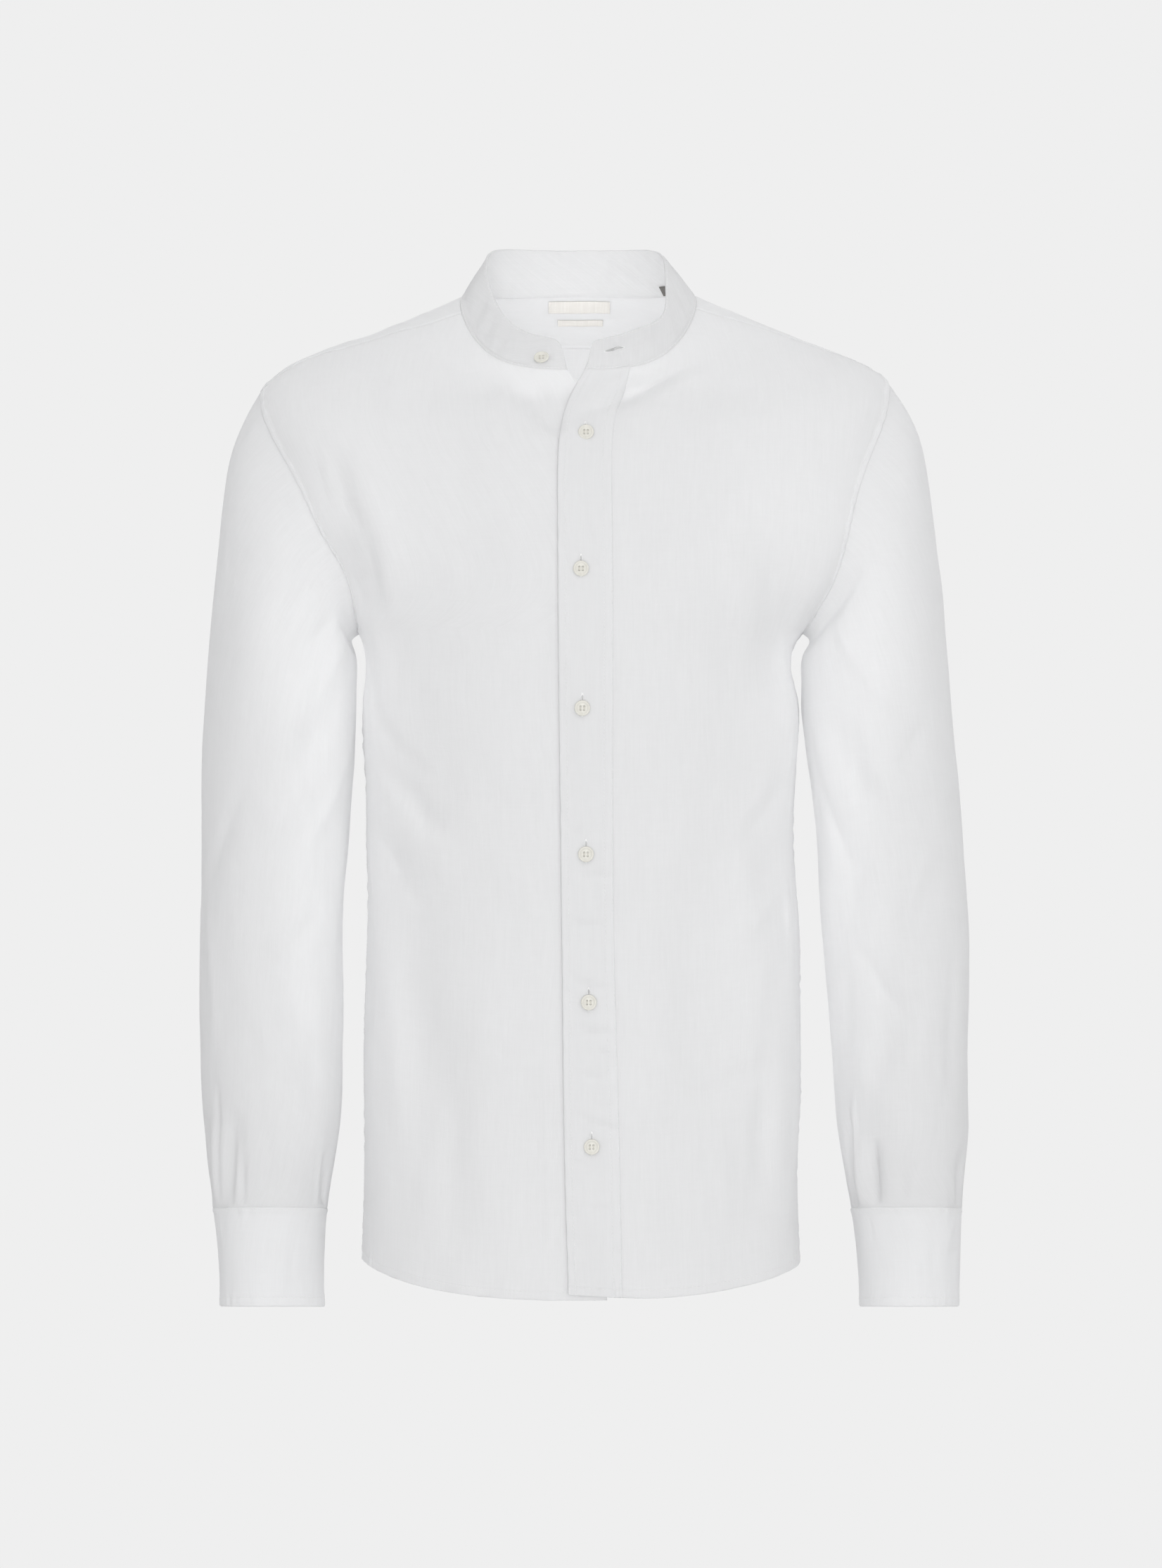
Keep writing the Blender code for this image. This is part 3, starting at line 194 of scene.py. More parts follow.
BACK_FOLDS = (
    # below the yoke, beside the armholes, across the waist and down to the tail
    (-60, -70, -50, -330, 14, -4, 5), (-85, -90, -82, -290, 15, 3, 4), (66, -75, 50, -360, 14, -4, -6),
    (94, -95, 84, -300, 16, 3, -4), (-155, -150, -125, -260, 13, -4, 6), (152, -160, 120, -275, 13, -4, -6),
    (-130, -380, -30, -430, 14, 3, 6), (10, -440, 125, -395, 13, -3.5, -5),
    (-105, -470, -90, -700, 17, 3.5, 5), (30, -500, 20, -710, 16, -3.5, 4),
    (100, -450, 118, -690, 16, 3.5, -4),
    # finer creases
    (-105, -100, -92, -210, 6, -2.4, 3), (-28, -80, -34, -200, 6, 2, 3), (24, -85, 20, -230, 6, -2, -3),
    (120, -110, 104, -230, 6, 2.4, 3), (-148, -200, -118, -300, 5.5, 2.4, 3),
    (150, -200, 128, -310, 5.5, -2.4, 3), (-150, -320, -90, -380, 6, -2.4, 4),
    (-70, -330, -10, -372, 6, 2, 3), (60, -310, 120, -350, 6, -2, -3), (148, -360, 100, -420, 5.5, 2.4, 3),
    (-142, -440, -100, -500, 6, -2.2, 3), (-60, -500, -55, -660, 7, -2.2, 4),
    (-20, -560, -10, -722, 6.5, 2, -3), (60, -520, 70, -690, 7, 2.2, 4),
    (140, -480, 136, -640, 6.5, -2.2, 3),
)
# Folds of a sleeve, whose x is a turn round it in degrees (90 is the front). They fade towards both seams.
SLEEVE_RADIUS = 0.055
CAP_FADE_FROM, CAP_FADE, CUFF_FADE = 0.02, 0.05, 0.006
SLEEVE_FOLDS = {
    RIGHT: (
        (40, -290, 95, -370, 13, -4, 5), (60, -330, 120, -430, 14, 3, 4), (95, -470, 60, -540, 13, -3.5, 4),
        (118, -590, 132, -662, 8, -4.5, 1), (142, -600, 150, -662, 8, 3.5, 1),
        (160, -596, 166, -662, 8, -4.5, -1), (28, -620, 22, -662, 8, -3.5, 0),
        (230, -300, 275, -400, 14, -4, 5), (300, -430, 250, -520, 14, 3, 5),
        (214, -560, 210, -660, 10, -4, 2),
        # finer creases
        (60, -160, 88, -235, 6, -2.1, 3), (36, -200, 70, -262, 5, -1.9, 2), (30, -225, 58, -300, 5, 1.9, 3),
        (66, -262, 110, -330, 6, -1.9, 3), (20, -330, 62, -400, 6, 2.1, 3),
        (110, -350, 150, -430, 7, -1.9, 3), (44, -440, 92, -490, 6, -2.1, 3),
        (104, -520, 62, -590, 6, 1.9, 3), (150, -440, 140, -560, 7, 1.6, 3),
        (136, -570, 146, -664, 3, -2.9, 1), (118, -600, 124, -664, 3.5, 2.2, 1),
        (156, -615, 160, -664, 2.5, -2.2, 0), (112, -622, 114, -664, 2.5, -1.9, 0),
        (92, -600, 84, -660, 6, -1.6, 2), (36, -622, 32, -664, 3, 2.2, 1),
        (20, -634, 16, -664, 2.5, -2.2, 0), (210, -350, 250, -440, 6, -2.2, 3),
        (270, -470, 300, -560, 6, 2.1, 3), (330, -300, 300, -380, 6, -2.1, 3),
        (200, -600, 198, -664, 3, -2.6, 1), (222, -600, 220, -664, 3, 2.6, 1),
    ),
    LEFT: (
        (44, -300, 100, -390, 13, -3.5, 5), (70, -330, 128, -420, 14, 2.8, 3),
        (100, -505, 62, -575, 13, -3.5, 4), (30, -600, 24, -662, 8, -4.5, 1),
        (44, -606, 40, -662, 8, 3.2, 1), (60, -612, 56, -662, 8, -3.5, 1), (150, -620, 156, -662, 8, -3, 0),
        (236, -290, 280, -390, 14, -4, 5), (296, -440, 246, -530, 14, 3, -5),
        (212, -560, 208, -660, 10, -4, 2),
        # finer creases
        (66, -120, 90, -215, 7, 1.6, 3), (34, -190, 62, -268, 5, -1.9, 2), (50, -232, 96, -300, 6, 1.9, 3),
        (130, -305, 100, -345, 3.5, -1.6, 2), (22, -330, 60, -420, 6, -1.9, 3),
        (120, -400, 90, -470, 6, 1.8, 3), (56, -470, 96, -530, 6, -1.9, 3),
        (140, -470, 132, -590, 7, -1.6, 3), (40, -580, 36, -664, 3, 2.6, 1),
        (33, -590, 28, -664, 2.2, -2.9, 1), (60, -612, 56, -664, 2.5, -2.9, 1),
        (96, -625, 84, -655, 5, -1.9, 2), (140, -640, 146, -664, 3, 1.6, 0),
        (208, -340, 250, -430, 6, -2.2, 3), (270, -480, 300, -560, 6, 2.1, 3),
        (326, -300, 300, -380, 6, -2.1, 3), (200, -600, 198, -664, 3, -2.6, 1),
        (222, -600, 220, -664, 3, 2.6, 1),
    ),
}
# Creases of the band, across a flat view of it: distance from its left end, and height above the neck seam
BAND_CREASES = (
    (30, 2, 24, 30, 3.5, 1.3, 1), (58, 4, 54, 32, 5, -1.4, 1), (74, 2, 88, 31, 5, -1.8, 1),
    (96, 2, 106, 32, 4.5, 1.5, 1), (172, 6, 195, 30, 5, 2, 2), (188, 4, 211, 28, 4.5, -2, 2),
    (224, 6, 206, 28, 5, 1.3, 2), (384, 3, 380, 31, 4.5, -2, 1), (394, 3, 391, 30, 4, 1.7, 1),
    (403, 3, 401, 28, 3.5, -1.7, 1), (413, 2, 409, 34, 4.2, 1.5, 1), (422, 4, 418, 32, 3.5, -1.7, 1),
    (431, 2, 428, 30, 3, 1.3, 1), (441, 6, 440, 32, 3, -1.3, 1), (464, 5, 463, 30, 3, -1.2, 1),
)
# Creases of a cuff, across a flat view of it: turn round it in degrees, and height
CUFF_CREASES = {
    RIGHT: (
        (160, -664, 158, -690, 2.2, -0.8, 0), (148, -664, 147, -688, 2, 0.7, 0),
        (168, -666, 166, -684, 1.8, -0.6, 0), (60, -668, 66, -730, 6, -0.6, 1),
    ),
    LEFT: (
        (118, -664, 120, -732, 6, -0.7, 1), (150, -668, 134, -690, 4, 0.8, 1),
        (160, -692, 136, -694, 2.2, -1, 0), (44, -664, 46, -690, 2.2, -0.6, 0),
    ),
}

# Soft uneven swells over all the cloth: wavelength, height, seed, and how much longer they are upright
SWELLS = (
    (0.110, 0.00085, 11, 1.3), (0.046, 0.00045, 12, 2.2), (0.020, 0.00018, 13, 3.5), (0.009, 0.00006, 14, 4),
)
PLANE_WAVES, WAVE_SIZES = 18, (0.7, 1.7)
# How much the waves themselves count, and the ridges where they cross their middle height
HOLLOW, RIDGE, RIDGE_ROUND = 0.6, 0.8, 0.04
# Puckers along a seam: how many waves, their sizes and those of their surges, and how much they surge
PUCKER_WAVES, PUCKER_SIZES, SURGE_SIZES = 9, (0.6, 1.9), (5, 16)
SURGE_MIDDLE, SURGE_SPREAD, SURGE_LIMITS = 0.7, 0.4, (0.1, 1.6)

# Relief beside an edge: depth of the edge itself, the raised layers and how wide they are, the stitch line's
# distance (0 without stitches) and groove, then the puckers' height, size and reach. A seam's two sides have
# the same depth.
RELIEF_COLUMNS = ("depth", "raised", "wide", "stitch", "groove", "pucker", "size", "reach")
RELIEFS = {
    "seam": (0.14, 0, 2, 0, 0, 0.1, 10, 12),
    "felled": (0.14, 0.8, 6.8, 6, 0.14, 0.26, 9, 11),
    "narrow": (0.14, 0.4, 2.4, 1.6, 0.1, 0.14, 8, 8),
    "hem": (0.1, 0.24, 6.8, 6, 0.14, 0.42, 6.5, 11),
    "free": (0.1, 0, 2, 0, 0, 0, 10, 5),
    "front_edge": (0.2, 0.2, 5.6, 5, 0.14, 0.16, 12, 9),
    "edge_run": (0, 0, 2, 0.8, 0, 0, 10, 5),
    "strip_edge": (0.5, 0.2, 7.2, 6.5, 0.14, 0.16, 12, 10),
    "band_edge": (0.2, 0.1, 2.2, 1.8, 0.12, 0.14, 9, 6),
    "tape": (0, 0.12, 0.9, 0, 0, 0, 10, 5),
    "cuff_edge": (0.2, 0.2, 7.2, 6.5, 0.16, 0.3, 7, 10),
}
RELIEFS = {kind: dict(zip(RELIEF_COLUMNS, MM * np.array(row))) for kind, row in RELIEFS.items()}
EDGE_ROUND, STEP_RISE, STEP_FALL, GROOVE_WIDE = 0.0007, 0.0006, 0.0011, 0.0005
# Layers that stand up by more than this let less light through
LAYER_LEAST = 0.00025

# Thickness of one layer, of a strip sewn on, and of a doubled layer
THIN, STRIP, DOUBLE = 0.0006, 0.0004, 0.0014

# How finely each piece is divided, on a body about this far from its middle
BODY_RADIUS = 0.15
WIDE_STEPS = (0, 0.4, 0.9, 1.8, 3.2, 4.6, 5.6, 6.2, 6.8, 7.6, 9.2)
NARROW_STEPS = (0, 0.4, 0.9, 1.4, 1.9, 2.7, 4)
HEM_TO_UNDERARM, ARMHOLE_FRONT, ARMHOLE_YOKE, ARMHOLE_BACK = 200, 84, 22, 80
NECK_FRONT, YOKE_SEAM, YOKE_WIDE = 20, 60, 200
PLACKET_COLUMNS, UNDER_COLUMNS, RAMP_COLUMNS = 32, 8, 8
SLEEVE_ROWS, CUFF_ROWS, COLLAR_ROWS = 150, 36, 28
# Turns round the sleeve where the cuff starts and by how much it laps, and the slit's length above it
CUFF_START, CUFF_LAP = math.radians(242.7), math.radians(29.3)
SLIT_LENGTH = 0.116
SAME_PLACE = 2e-5

# Collar, buttons and labels, and rough sizes that the divisions are spread over
COLLAR_END_X = {RIGHT: -0.0150, LEFT: 0.0088}
COLLAR_CORNER = {RIGHT: 0.009, LEFT: 0.005}
COLLAR_HEIGHT, COLLAR_END_REACH = 0.034, 0.06
COLLAR_BUTTON_X, COLLAR_BUTTON_SHARE = -0.0284, 0.40
PLACKET_WIDE, YOKE_DEEP, YOKE_BACK_WIDE, ARMHOLE_RADIUS = 0.038, 0.150, 0.420, 0.085
LAP_RISE_COLUMNS = 6
BUTTON_PLACES = (
    (0.0035, -0.1047), (0.0000, -0.2036), (0.0010, -0.3023),
    (0.0035, -0.4057), (0.0055, -0.5108), (0.0075, -0.6131),
)
BUTTON_THICK, BUTTON_SEGMENTS, BUTTON_OFF = 0.0018, 48, 0.0001
BUTTON_PROFILE = MM * np.array((
    # radius and height: back, rounded edge, rim, dish
    (3.4, 0), (4.6, 0.1), (5.3, 0.5), (5.6, 1), (5.45, 1.5), (5.1, 1.75),
    (4.7, 1.8), (4.3, 1.7), (4, 1.45), (3.7, 1.3), (2.6, 1.2), (1, 1.2),
))
HOLE_APART, HOLE_RADIUS, HOLE_SEGMENTS = 0.00125, 0.00068, 20
STRANDS, STRAND_LONG, STRAND_WIDE = (-0.00025, 0, 0.00025), 0.004, 0.0004
SHARP_FROM = math.radians(40)
BUTTON_HOLES = tuple((x, y) for x in (-HOLE_APART, HOLE_APART) for y in (-HOLE_APART, HOLE_APART))
STITCH_PITCH, STITCH_LONG, STITCH_WIDE, STITCH_LIFT = 0.0027, 0.0021, 0.00038, 0.00004
SATIN_PITCH, SATIN_LONG, SATIN_WIDE, SATIN_LIFT, SLIT_LIFT = 0.0004, 0.0015, 0.0005, 0.00012, 0.00015
HOLE_UP, HOLE_LONG, SLIT_OPEN, HOLE_GATHER = 0.0024, 0.0145, 0.0006, 0.45
BAND_HOLE_SHARE, BAND_HOLE_X, BAND_HOLE_LONG, BAND_HOLE_OPEN = 0.57, 0.0240, 0.0145, 0.0022
# How many of the band's columns its open ends have, and how many are stepped over to find its direction
BAND_END, BAND_STEP = 60, 3
LAYER_GAP, RIM_BULGE = 0.0002, 0.35
# Seeds of the puckers: the step from one piece to the next, then those of the strips and the labels
SEED_STEP, PLACKET_SEED, SLIT_SEED, LABEL_SEED = 20, 300, 400, 9

# Labels inside the back yoke: name, centre x, width, and the levels of the form that they lie between
LABELS = (
    ("neck_label", -0.0013, 0.0456, (-0.0650, -0.0592)),
    ("fabric_label", -0.0005, 0.0336, (-0.0715, -0.0686)),
)
TAG_SIDES, TAG_SHARES = (0.0625, 0.0680), (0.02, 0.22)
LABEL_OFF, TAPE_THICK = 0.0012, 0.00035
LABEL_COLUMNS, LABEL_ROWS, TAG_ROWS = 30, 9, 12

# Yarns of the woven cloth, seen as drawn-out noise: scale across and along, detail and share. Then the range
# that their sum is read over, and the range of the noise of grained finishes.
YARNS = ((1700, 60, 2.0, 0.9), (60, 1700, 2.0, 0.5), (560, 22, 3.0, 1.0), (24, 620, 3.0, 0.35))
YARN_ROUGHNESS, YARN_RANGE, GRAIN_ENDS = 0.55, (1.0, 1.75), (0.3, 0.7)

# Studio
CAMERA_PLACE, CAMERA_LENS, CAMERA_SENSOR = (0.0, -3.6, -0.356), 112.9, 36
FLOOR_RADIUS, FLOOR_LEVEL, FLOOR_SIDES, SURROUND = 1.2, -1.15, 96, (0.863, 0.863, 0.863)
# Light from all round, of which one share is missing at the far left and right, and another moved to the left
AMBIENT, SIDES_DIMMED, LEFT_MORE = 1.235, 0.50, 0.05
# Soft lights: place, point they face, size across and up, and power. The weak ones fill the shirt's hollows.
LIGHTS = (
    ("front_softbox", (0.0, -3.3, -0.95), (0.0, 0.0, -0.35), (1.6, 1.6), 19),
    ("upper_key", (1.6, -2.0, 1.9), (0.0, 0.0, -0.35), (1.8, 1.8), 4),
    ("neck_fill", (0.0, -0.045, -0.12), (0.0, 0.09, -0.040), (0.15, 0.06), 0.10),
    ("left_side_fill", (0.09, 0.0, -0.42), (0.2, 0.0, -0.42), (0.08, 0.62), 0.17),
    ("right_side_fill", (-0.09, 0.0, -0.42), (-0.2, 0.0, -0.42), (0.08, 0.62), 0.17),
    ("left_sleeve_fill", (0.215, -0.015, -0.42), (0.150, -0.035, -0.42), (0.03, 0.44), 0.09),
    ("left_arm_fill", (0.232, -0.012, -0.25), (0.165, -0.030, -0.25), (0.03, 0.09), 0.02),
    ("right_arm_fill", (-0.230, -0.012, -0.25), (-0.163, -0.030, -0.25), (0.03, 0.09), 0.02),
    ("left_underarm_fill", (0.120, -0.010, -0.27), (0.165, -0.030, -0.27), (0.03, 0.09), 0.015),
    ("right_underarm_fill", (-0.120, -0.010, -0.27), (-0.163, -0.030, -0.27), (0.03, 0.09), 0.015),
    ("right_sleeve_fill", (-0.213, -0.015, -0.42), (-0.150, -0.035, -0.42), (0.03, 0.44), 0.085),
)

# ---- curves


def spline(knots, values, places):
    """A natural cubic spline through rows of values, read at any array of places."""
    knots, values, places = (np.asarray(a, float) for a in (knots, values, places))
    count, steps = len(knots), np.diff(knots)
    slopes = np.diff(values, axis=0) / steps.reshape((-1,) + (1,) * (values.ndim - 1))
    matrix, wanted = np.eye(count), np.zeros_like(values)
    for i in range(1, count - 1):
        matrix[i, i - 1 : i + 2] = steps[i - 1], 2 * (steps[i - 1] + steps[i]), steps[i]
        wanted[i] = 6 * (slopes[i] - slopes[i - 1])
    bends = np.linalg.solve(matrix, wanted.reshape(count, -1)).reshape(values.shape)
    k = np.clip(np.searchsorted(knots, places, side="right") - 1, 0, count - 2)
    wide = steps[k].reshape(places.shape + (1,) * (values.ndim - 1))
    near = (knots[k + 1] - places).reshape(wide.shape) / wide
    far = 1 - near
    bent = (near**3 - near) * bends[k] + (far**3 - far) * bends[k + 1]
    return near * values[k] + far * values[k + 1] + bent * wide**2 / 6


def table_reader(columns, rows):
    """A function that reads a table of rows at any value of its first column, as named columns."""

    def read(place):
        values = spline(rows[:, 0], rows[:, 1:], place)
        return {name: values[..., i] for i, name in enumerate(columns[1:])}

    return read


def unit(vectors):
    return vectors / np.maximum(np.linalg.norm(vectors, axis=-1, keepdims=True), TINY)


def gone_along(line):
    """How far along a line each of its points is from the first."""
    return np.append(0, np.cumsum(np.linalg.norm(np.diff(line, axis=0), axis=-1)))


def read_at(places, knots, rows):
    """Rows of values that belong to knots, read in straight lines between them."""
    return np.stack([np.interp(places, knots, column) for column in rows.T], axis=-1)


def smooth_step(share):
    share = np.clip(share, 0, 1)
    return share * share * (3 - 2 * share)


def fold_height(x, z, rows):
    """The height of all the folds in a table at places in a flat view."""
    total = np.zeros(np.broadcast(x, z).shape)
    for row in rows:
        fold = dict(zip(FOLD_COLUMNS, MM * np.array(row)))
        from_x, from_z = x - fold["start_x"], z - fold["start_z"]
        run_x, run_z = fold["end_x"] - fold["start_x"], fold["end_z"] - fold["start_z"]
        long = math.hypot(run_x, run_z)
        inside = np.clip((from_x * run_x + from_z * run_z) / long**2, 0, 1)
        taper = (4 * inside * (1 - inside)) ** FOLD_TAPER
        across = (from_x * run_z - from_z * run_x) / long - fold["bow"] * taper
        total = total + fold["height"] * taper * np.exp(-((across / fold["width"]) ** 2))
    return total


def plane_waves(points, size, seed):
    """A smooth uneven field over points in space, of spread 1, whose swells are about this size."""
    random = np.random.default_rng(seed)
    directions = unit(random.normal(size=(PLANE_WAVES, 3)))
    lengths = size * random.uniform(*WAVE_SIZES, PLANE_WAVES)
    phases = random.uniform(0, TURN, PLANE_WAVES)
    total = np.zeros(points.shape[:-1])
    for direction, length, phase in zip(directions, lengths, phases):
        total += np.sin(points @ direction * (TURN / length) + phase)
    return total / math.sqrt(PLANE_WAVES / 2)


def swells(points):
    """The uneven height of cloth that has been washed and pressed: soft hollows between faint ridges."""
    total = np.zeros(points.shape[:-1])
    for size, height, seed, upright in SWELLS:
        swell = plane_waves(points * (1, 1, 1 / upright), size, seed)
        total += height * (HOLLOW * (swell + 1) - RIDGE * np.sqrt(swell**2 + RIDGE_ROUND))
    return total


def puckers(along, size, seed):
    """Uneven small waves along a line, of spread 1, which come and go."""
    random = np.random.default_rng(seed)
    waves = np.zeros((2, *along.shape))
    for _ in range(PUCKER_WAVES):
        for total, sizes in zip(waves, (PUCKER_SIZES, SURGE_SIZES)):
            total += np.sin(along * TURN / (size * random.uniform(*sizes)) + random.uniform(0, TURN))
    wave, surge = waves / math.sqrt(PUCKER_WAVES / 2)
    return wave * np.clip(SURGE_MIDDLE + SURGE_SPREAD * surge, *SURGE_LIMITS)


def sleeve_folds(folds, turns, points):
    """The height of a sleeve's folds, whose table gives places round it in degrees."""
    flat = math.radians(1) * SLEEVE_RADIUS / MM
    rows = [(row[0] * flat, row[1], row[2] * flat, *row[3:]) for row in folds]
    return fold_height(turns[None, :] * SLEEVE_RADIUS, points[..., 2], rows)


def levels_below():
    """Levels from the hem up to the underarm."""
    shares = divided(UNDERARM_LEVEL - HEM_LEVEL, HEM_TO_UNDERARM, WIDE_STEPS, ())
    return HEM_LEVEL + (UNDERARM_LEVEL - HEM_LEVEL) * shares


# ---- the torso form

torso_at = table_reader(TORSO_COLUMNS, TORSO_RINGS)
opening_at = table_reader(OPENING_COLUMNS, OPENING)


def middle_and_half(ring):
    """The x of a ring's middle, and half its width."""
    return (ring["left"] - ring["right"]) / 2, (ring["left"] + ring["right"]) / 2


def ring_point(angle, front_z, ring):
    """A point of one ring. The angle is 0 at the front centre and a quarter turn at the wearer's left."""
    sine, cosine = np.sin(angle), np.cos(angle)
    power = 2 / ring["round"]
    middle, half = middle_and_half(ring)
    depth = np.where(cosine > 0, ring["front_y"] - ring["side_y"], ring["back_y"] - ring["side_y"])
    x = middle + half * np.sign(sine) * np.abs(sine) ** power
    y = ring["side_y"] + depth * np.abs(cosine) ** power
    side = (ring["left_z"] + ring["right_z"]) / 2
    tilt = (ring["left_z"] - ring["right_z"]) / 2
    front, back = front_z - side, ring["back_z"] - side
    front_corner, back_corner = front * ring["front_swing"], back * ring["back_swing"]
    even, odd = (front + back) / 2, (front - back) / 2
    even_corner = (front_corner + back_corner) / 2
    odd_corner = (front_corner - back_corner) / 2 * math.sqrt(2)
    square = cosine**2
    rise = (4 * even_corner - even) * square + (2 * even - 4 * even_corner) * square**2
    rise = rise + cosine * (2 * odd_corner - odd + 2 * (odd - odd_corner) * square)
    return np.stack([x, y, side + rise + tilt * sine * (1 - square)], axis=-1)


def torso_skin(angle, level):
    angle, level = np.broadcast_arrays(angle, level)
    return ring_point(angle, level, torso_at(level))


def outward(surface, first, second, step=1e-4):
    """Unit normals of a surface of two values, which run round it and up it."""
    round_it = surface(first + step, second) - surface(first - step, second)
    up_it = surface(first, second + step) - surface(first, second - step)
    return unit(np.cross(round_it, up_it))


def torso(angle, level):
    """The torso form with its folds, which fade towards the neck seam and the armholes' sides."""
    angle, level = np.broadcast_arrays(angle, level)
    point = torso_skin(angle, level)
    x, z = point[..., 0], point[..., 2]
    front = smooth_step((np.cos(angle) - SIDE_FADE_FROM) / SIDE_FADE_WIDE)
    height = front * fold_height(x, z, FRONT_FOLDS)
    height = height + (1 - front) * fold_height(x, z, BACK_FOLDS)
    height = (height + swells(point)) * smooth_step((NECK_LEVEL - level) / NECK_FADE)
    return point + outward(torso_skin, angle, level) * height[..., None]


def angle_at_x(ring, x):
    """The angle, on the front, of the point of a ring that has this x."""
    middle, half = middle_and_half(ring)
    share = (x - middle) / half
    return np.arcsin(np.sign(share) * np.abs(share) ** (ring["round"] / 2))


def angle_at_reach(level, reach):
    """The angle towards one side of the point this far in front (or, negative, behind) of the side."""
    ring = torso_at(level)
    depth = np.where(reach > 0, ring["side_y"] - ring["front_y"], ring["back_y"] - ring["side_y"])
    share = np.clip(np.abs(reach) / depth, 0, 1) ** (ring["round"] / 2)
    return np.arccos(np.sign(reach) * share)


def as_places(angles, levels):
    return np.stack(np.broadcast_arrays(angles, levels), axis=-1)


def armhole(turn):
    """Angle and level of the armhole's loop, for turns from the underarm by the front to the tip and back."""
    up = ((1 - np.cos(turn)) / 2) ** ARMHOLE_SKEW
    level = UNDERARM_LEVEL + (TIP_LEVEL - UNDERARM_LEVEL) * up
    reach = np.sin(turn) * np.where(np.less(turn, math.pi), ARMHOLE_FRONT_REACH, ARMHOLE_BACK_REACH)
    return as_places(angle_at_reach(level, reach), level)


def armhole_turns(side):
    """The turns at which the armhole's points lie: front, yoke and back stretches share their ends."""
    stretches = (
        (0, YOKE_FRONT_TURN[side], ARMHOLE_FRONT, (), NARROW_STEPS),
        (YOKE_FRONT_TURN[side], YOKE_BACK_TURN, ARMHOLE_YOKE, NARROW_STEPS, NARROW_STEPS),
        (YOKE_BACK_TURN, TURN, ARMHOLE_BACK, NARROW_STEPS, ()),
    )
    found = []
    for start, stop, count, first, last in stretches:
        shares = divided((stop - start) * ARMHOLE_RADIUS, count, first, last)
        found.append(start + (stop - start) * shares)
    return found


def front_yoke_seam(side, count):
    """Angle and level of the yoke's front seam, from the neck out to the armhole."""
    share = divided(YOKE_DEEP, count, NARROW_STEPS, WIDE_STEPS)
    outer = YOKE_FRONT_TURN[side]
    level = NECK_LEVEL + (armhole(outer)[1] - NECK_LEVEL) * share
    at_neck = YOKE_FRONT_AT_NECK[side]
    reach = at_neck + (math.sin(outer) * ARMHOLE_FRONT_REACH - at_neck) * share
    return as_places(angle_at_reach(level, reach), level)


def round_back(places, side):
    """Angles towards one side turned into angles that run from the left side round the back."""
    return places if side == LEFT else np.array((TURN, 0)) + places * (-1, 1)


# ---- dividing the panels


def shares_along(line):
    """How far along a line of angles and levels each of its points is, from 0 to 1."""
    gone = gone_along(line * (BODY_RADIUS, 1))
    return gone / gone[-1]


def corner_lift(places):
    """How far up each of the left front's places moves, most at the foot of the placket's free edge."""
    beside = np.clip(1 - (places[..., 0] - places[:, :1, 0]) / CORNER_TURN, 0, 1)
    fade = smooth_step(1 - (places[..., 1] - HEM_LEVEL) / CORNER_HEIGHT)
    return CORNER_LIFT * beside**2 * fade


def divided(length, count, first=(), last=()):
    """Shares of a length from 0 to 1, in this many steps, that begin and end with given fine steps."""
    first, last = (MM * np.array(steps or (0,)) for steps in (first, last))
    middle = count - (len(first) - 1) - (len(last) - 1)
    between = np.linspace(first[-1], length - last[-1], middle + 1)
    return np.concatenate([first[:-1], between, (length - last[::-1])[1:]]) / length


def filled(bottom, top, first, last, start=0):
    """A grid of places between four edges that meet at their corners. The top's shape tells from a row on."""
    across = ((shares_along(bottom) + shares_along(top)) / 2)[None, :, None]
    up = ((shares_along(first) + shares_along(last)) / 2)[:, None, None]
    up = np.clip((up - up[start]) / (1 - up[start]), 0, 1)
    between = (1 - up) * bottom[None] + up * top[None]
    beside = (1 - across) * first[:, None] + across * last[:, None]
    corners = (1 - up) * ((1 - across) * bottom[0] + across * bottom[-1])
    corners = corners + up * ((1 - across) * top[0] + across * top[-1])
    return between + beside - corners


def front_levels():
    """Levels of a front's rows, from the hem to the neck. Above the underarm they half follow the armhole."""
    arm = armhole(armhole_turns(LEFT)[0])[:, 1] - UNDERARM_LEVEL
    even = divided(NECK_LEVEL - UNDERARM_LEVEL, ARMHOLE_FRONT, (), NARROW_STEPS)
    above = UNDERARM_LEVEL + (NECK_LEVEL - UNDERARM_LEVEL) * (even + arm / arm[-1]) / 2
    return np.concatenate([levels_below(), above[1:]])


def side_edge(turns):
    """Places up the side seam and on up the front or the back of the armhole, as far as its turns go."""
    return np.concatenate([as_places(math.pi / 2, levels_below()), armhole(turns)[1:]])


def front_places(side, lines):
    """A front's grid of places: columns at the given lines of x, then on to the side seam and armhole."""
    levels = front_levels()
    ring = torso_at(levels)
    columns = [as_places(side * angle_at_x(ring, x), levels) for x in lines]
    inner = columns[-1]
    yoke_seam = front_yoke_seam(side, YOKE_SEAM)
    neck = as_places(np.linspace(inner[-1, 0], yoke_seam[0, 0], NECK_FRONT + 1), NECK_LEVEL)
    top = np.concatenate([neck, yoke_seam[1:]])
    hem = as_places(inner[0, 0] + (math.pi / 2 - inner[0, 0]) * shares_along(top), HEM_LEVEL)
    rest = filled(hem, top, inner, side_edge(armhole_turns(side)[0]), HEM_TO_UNDERARM)
    return np.concatenate([np.stack(columns[:-1], axis=1), rest], axis=1)


def front_left_places():
    edges = opening_at(front_levels())
    wide = edges["stitched_x"] - edges["free_x"]
    shares = divided(PLACKET_WIDE, PLACKET_COLUMNS, WIDE_STEPS, WIDE_STEPS)
    places = front_places(LEFT, [edges["free_x"] + wide * share for share in shares])
    places[..., 1] += corner_lift(places)
    return places


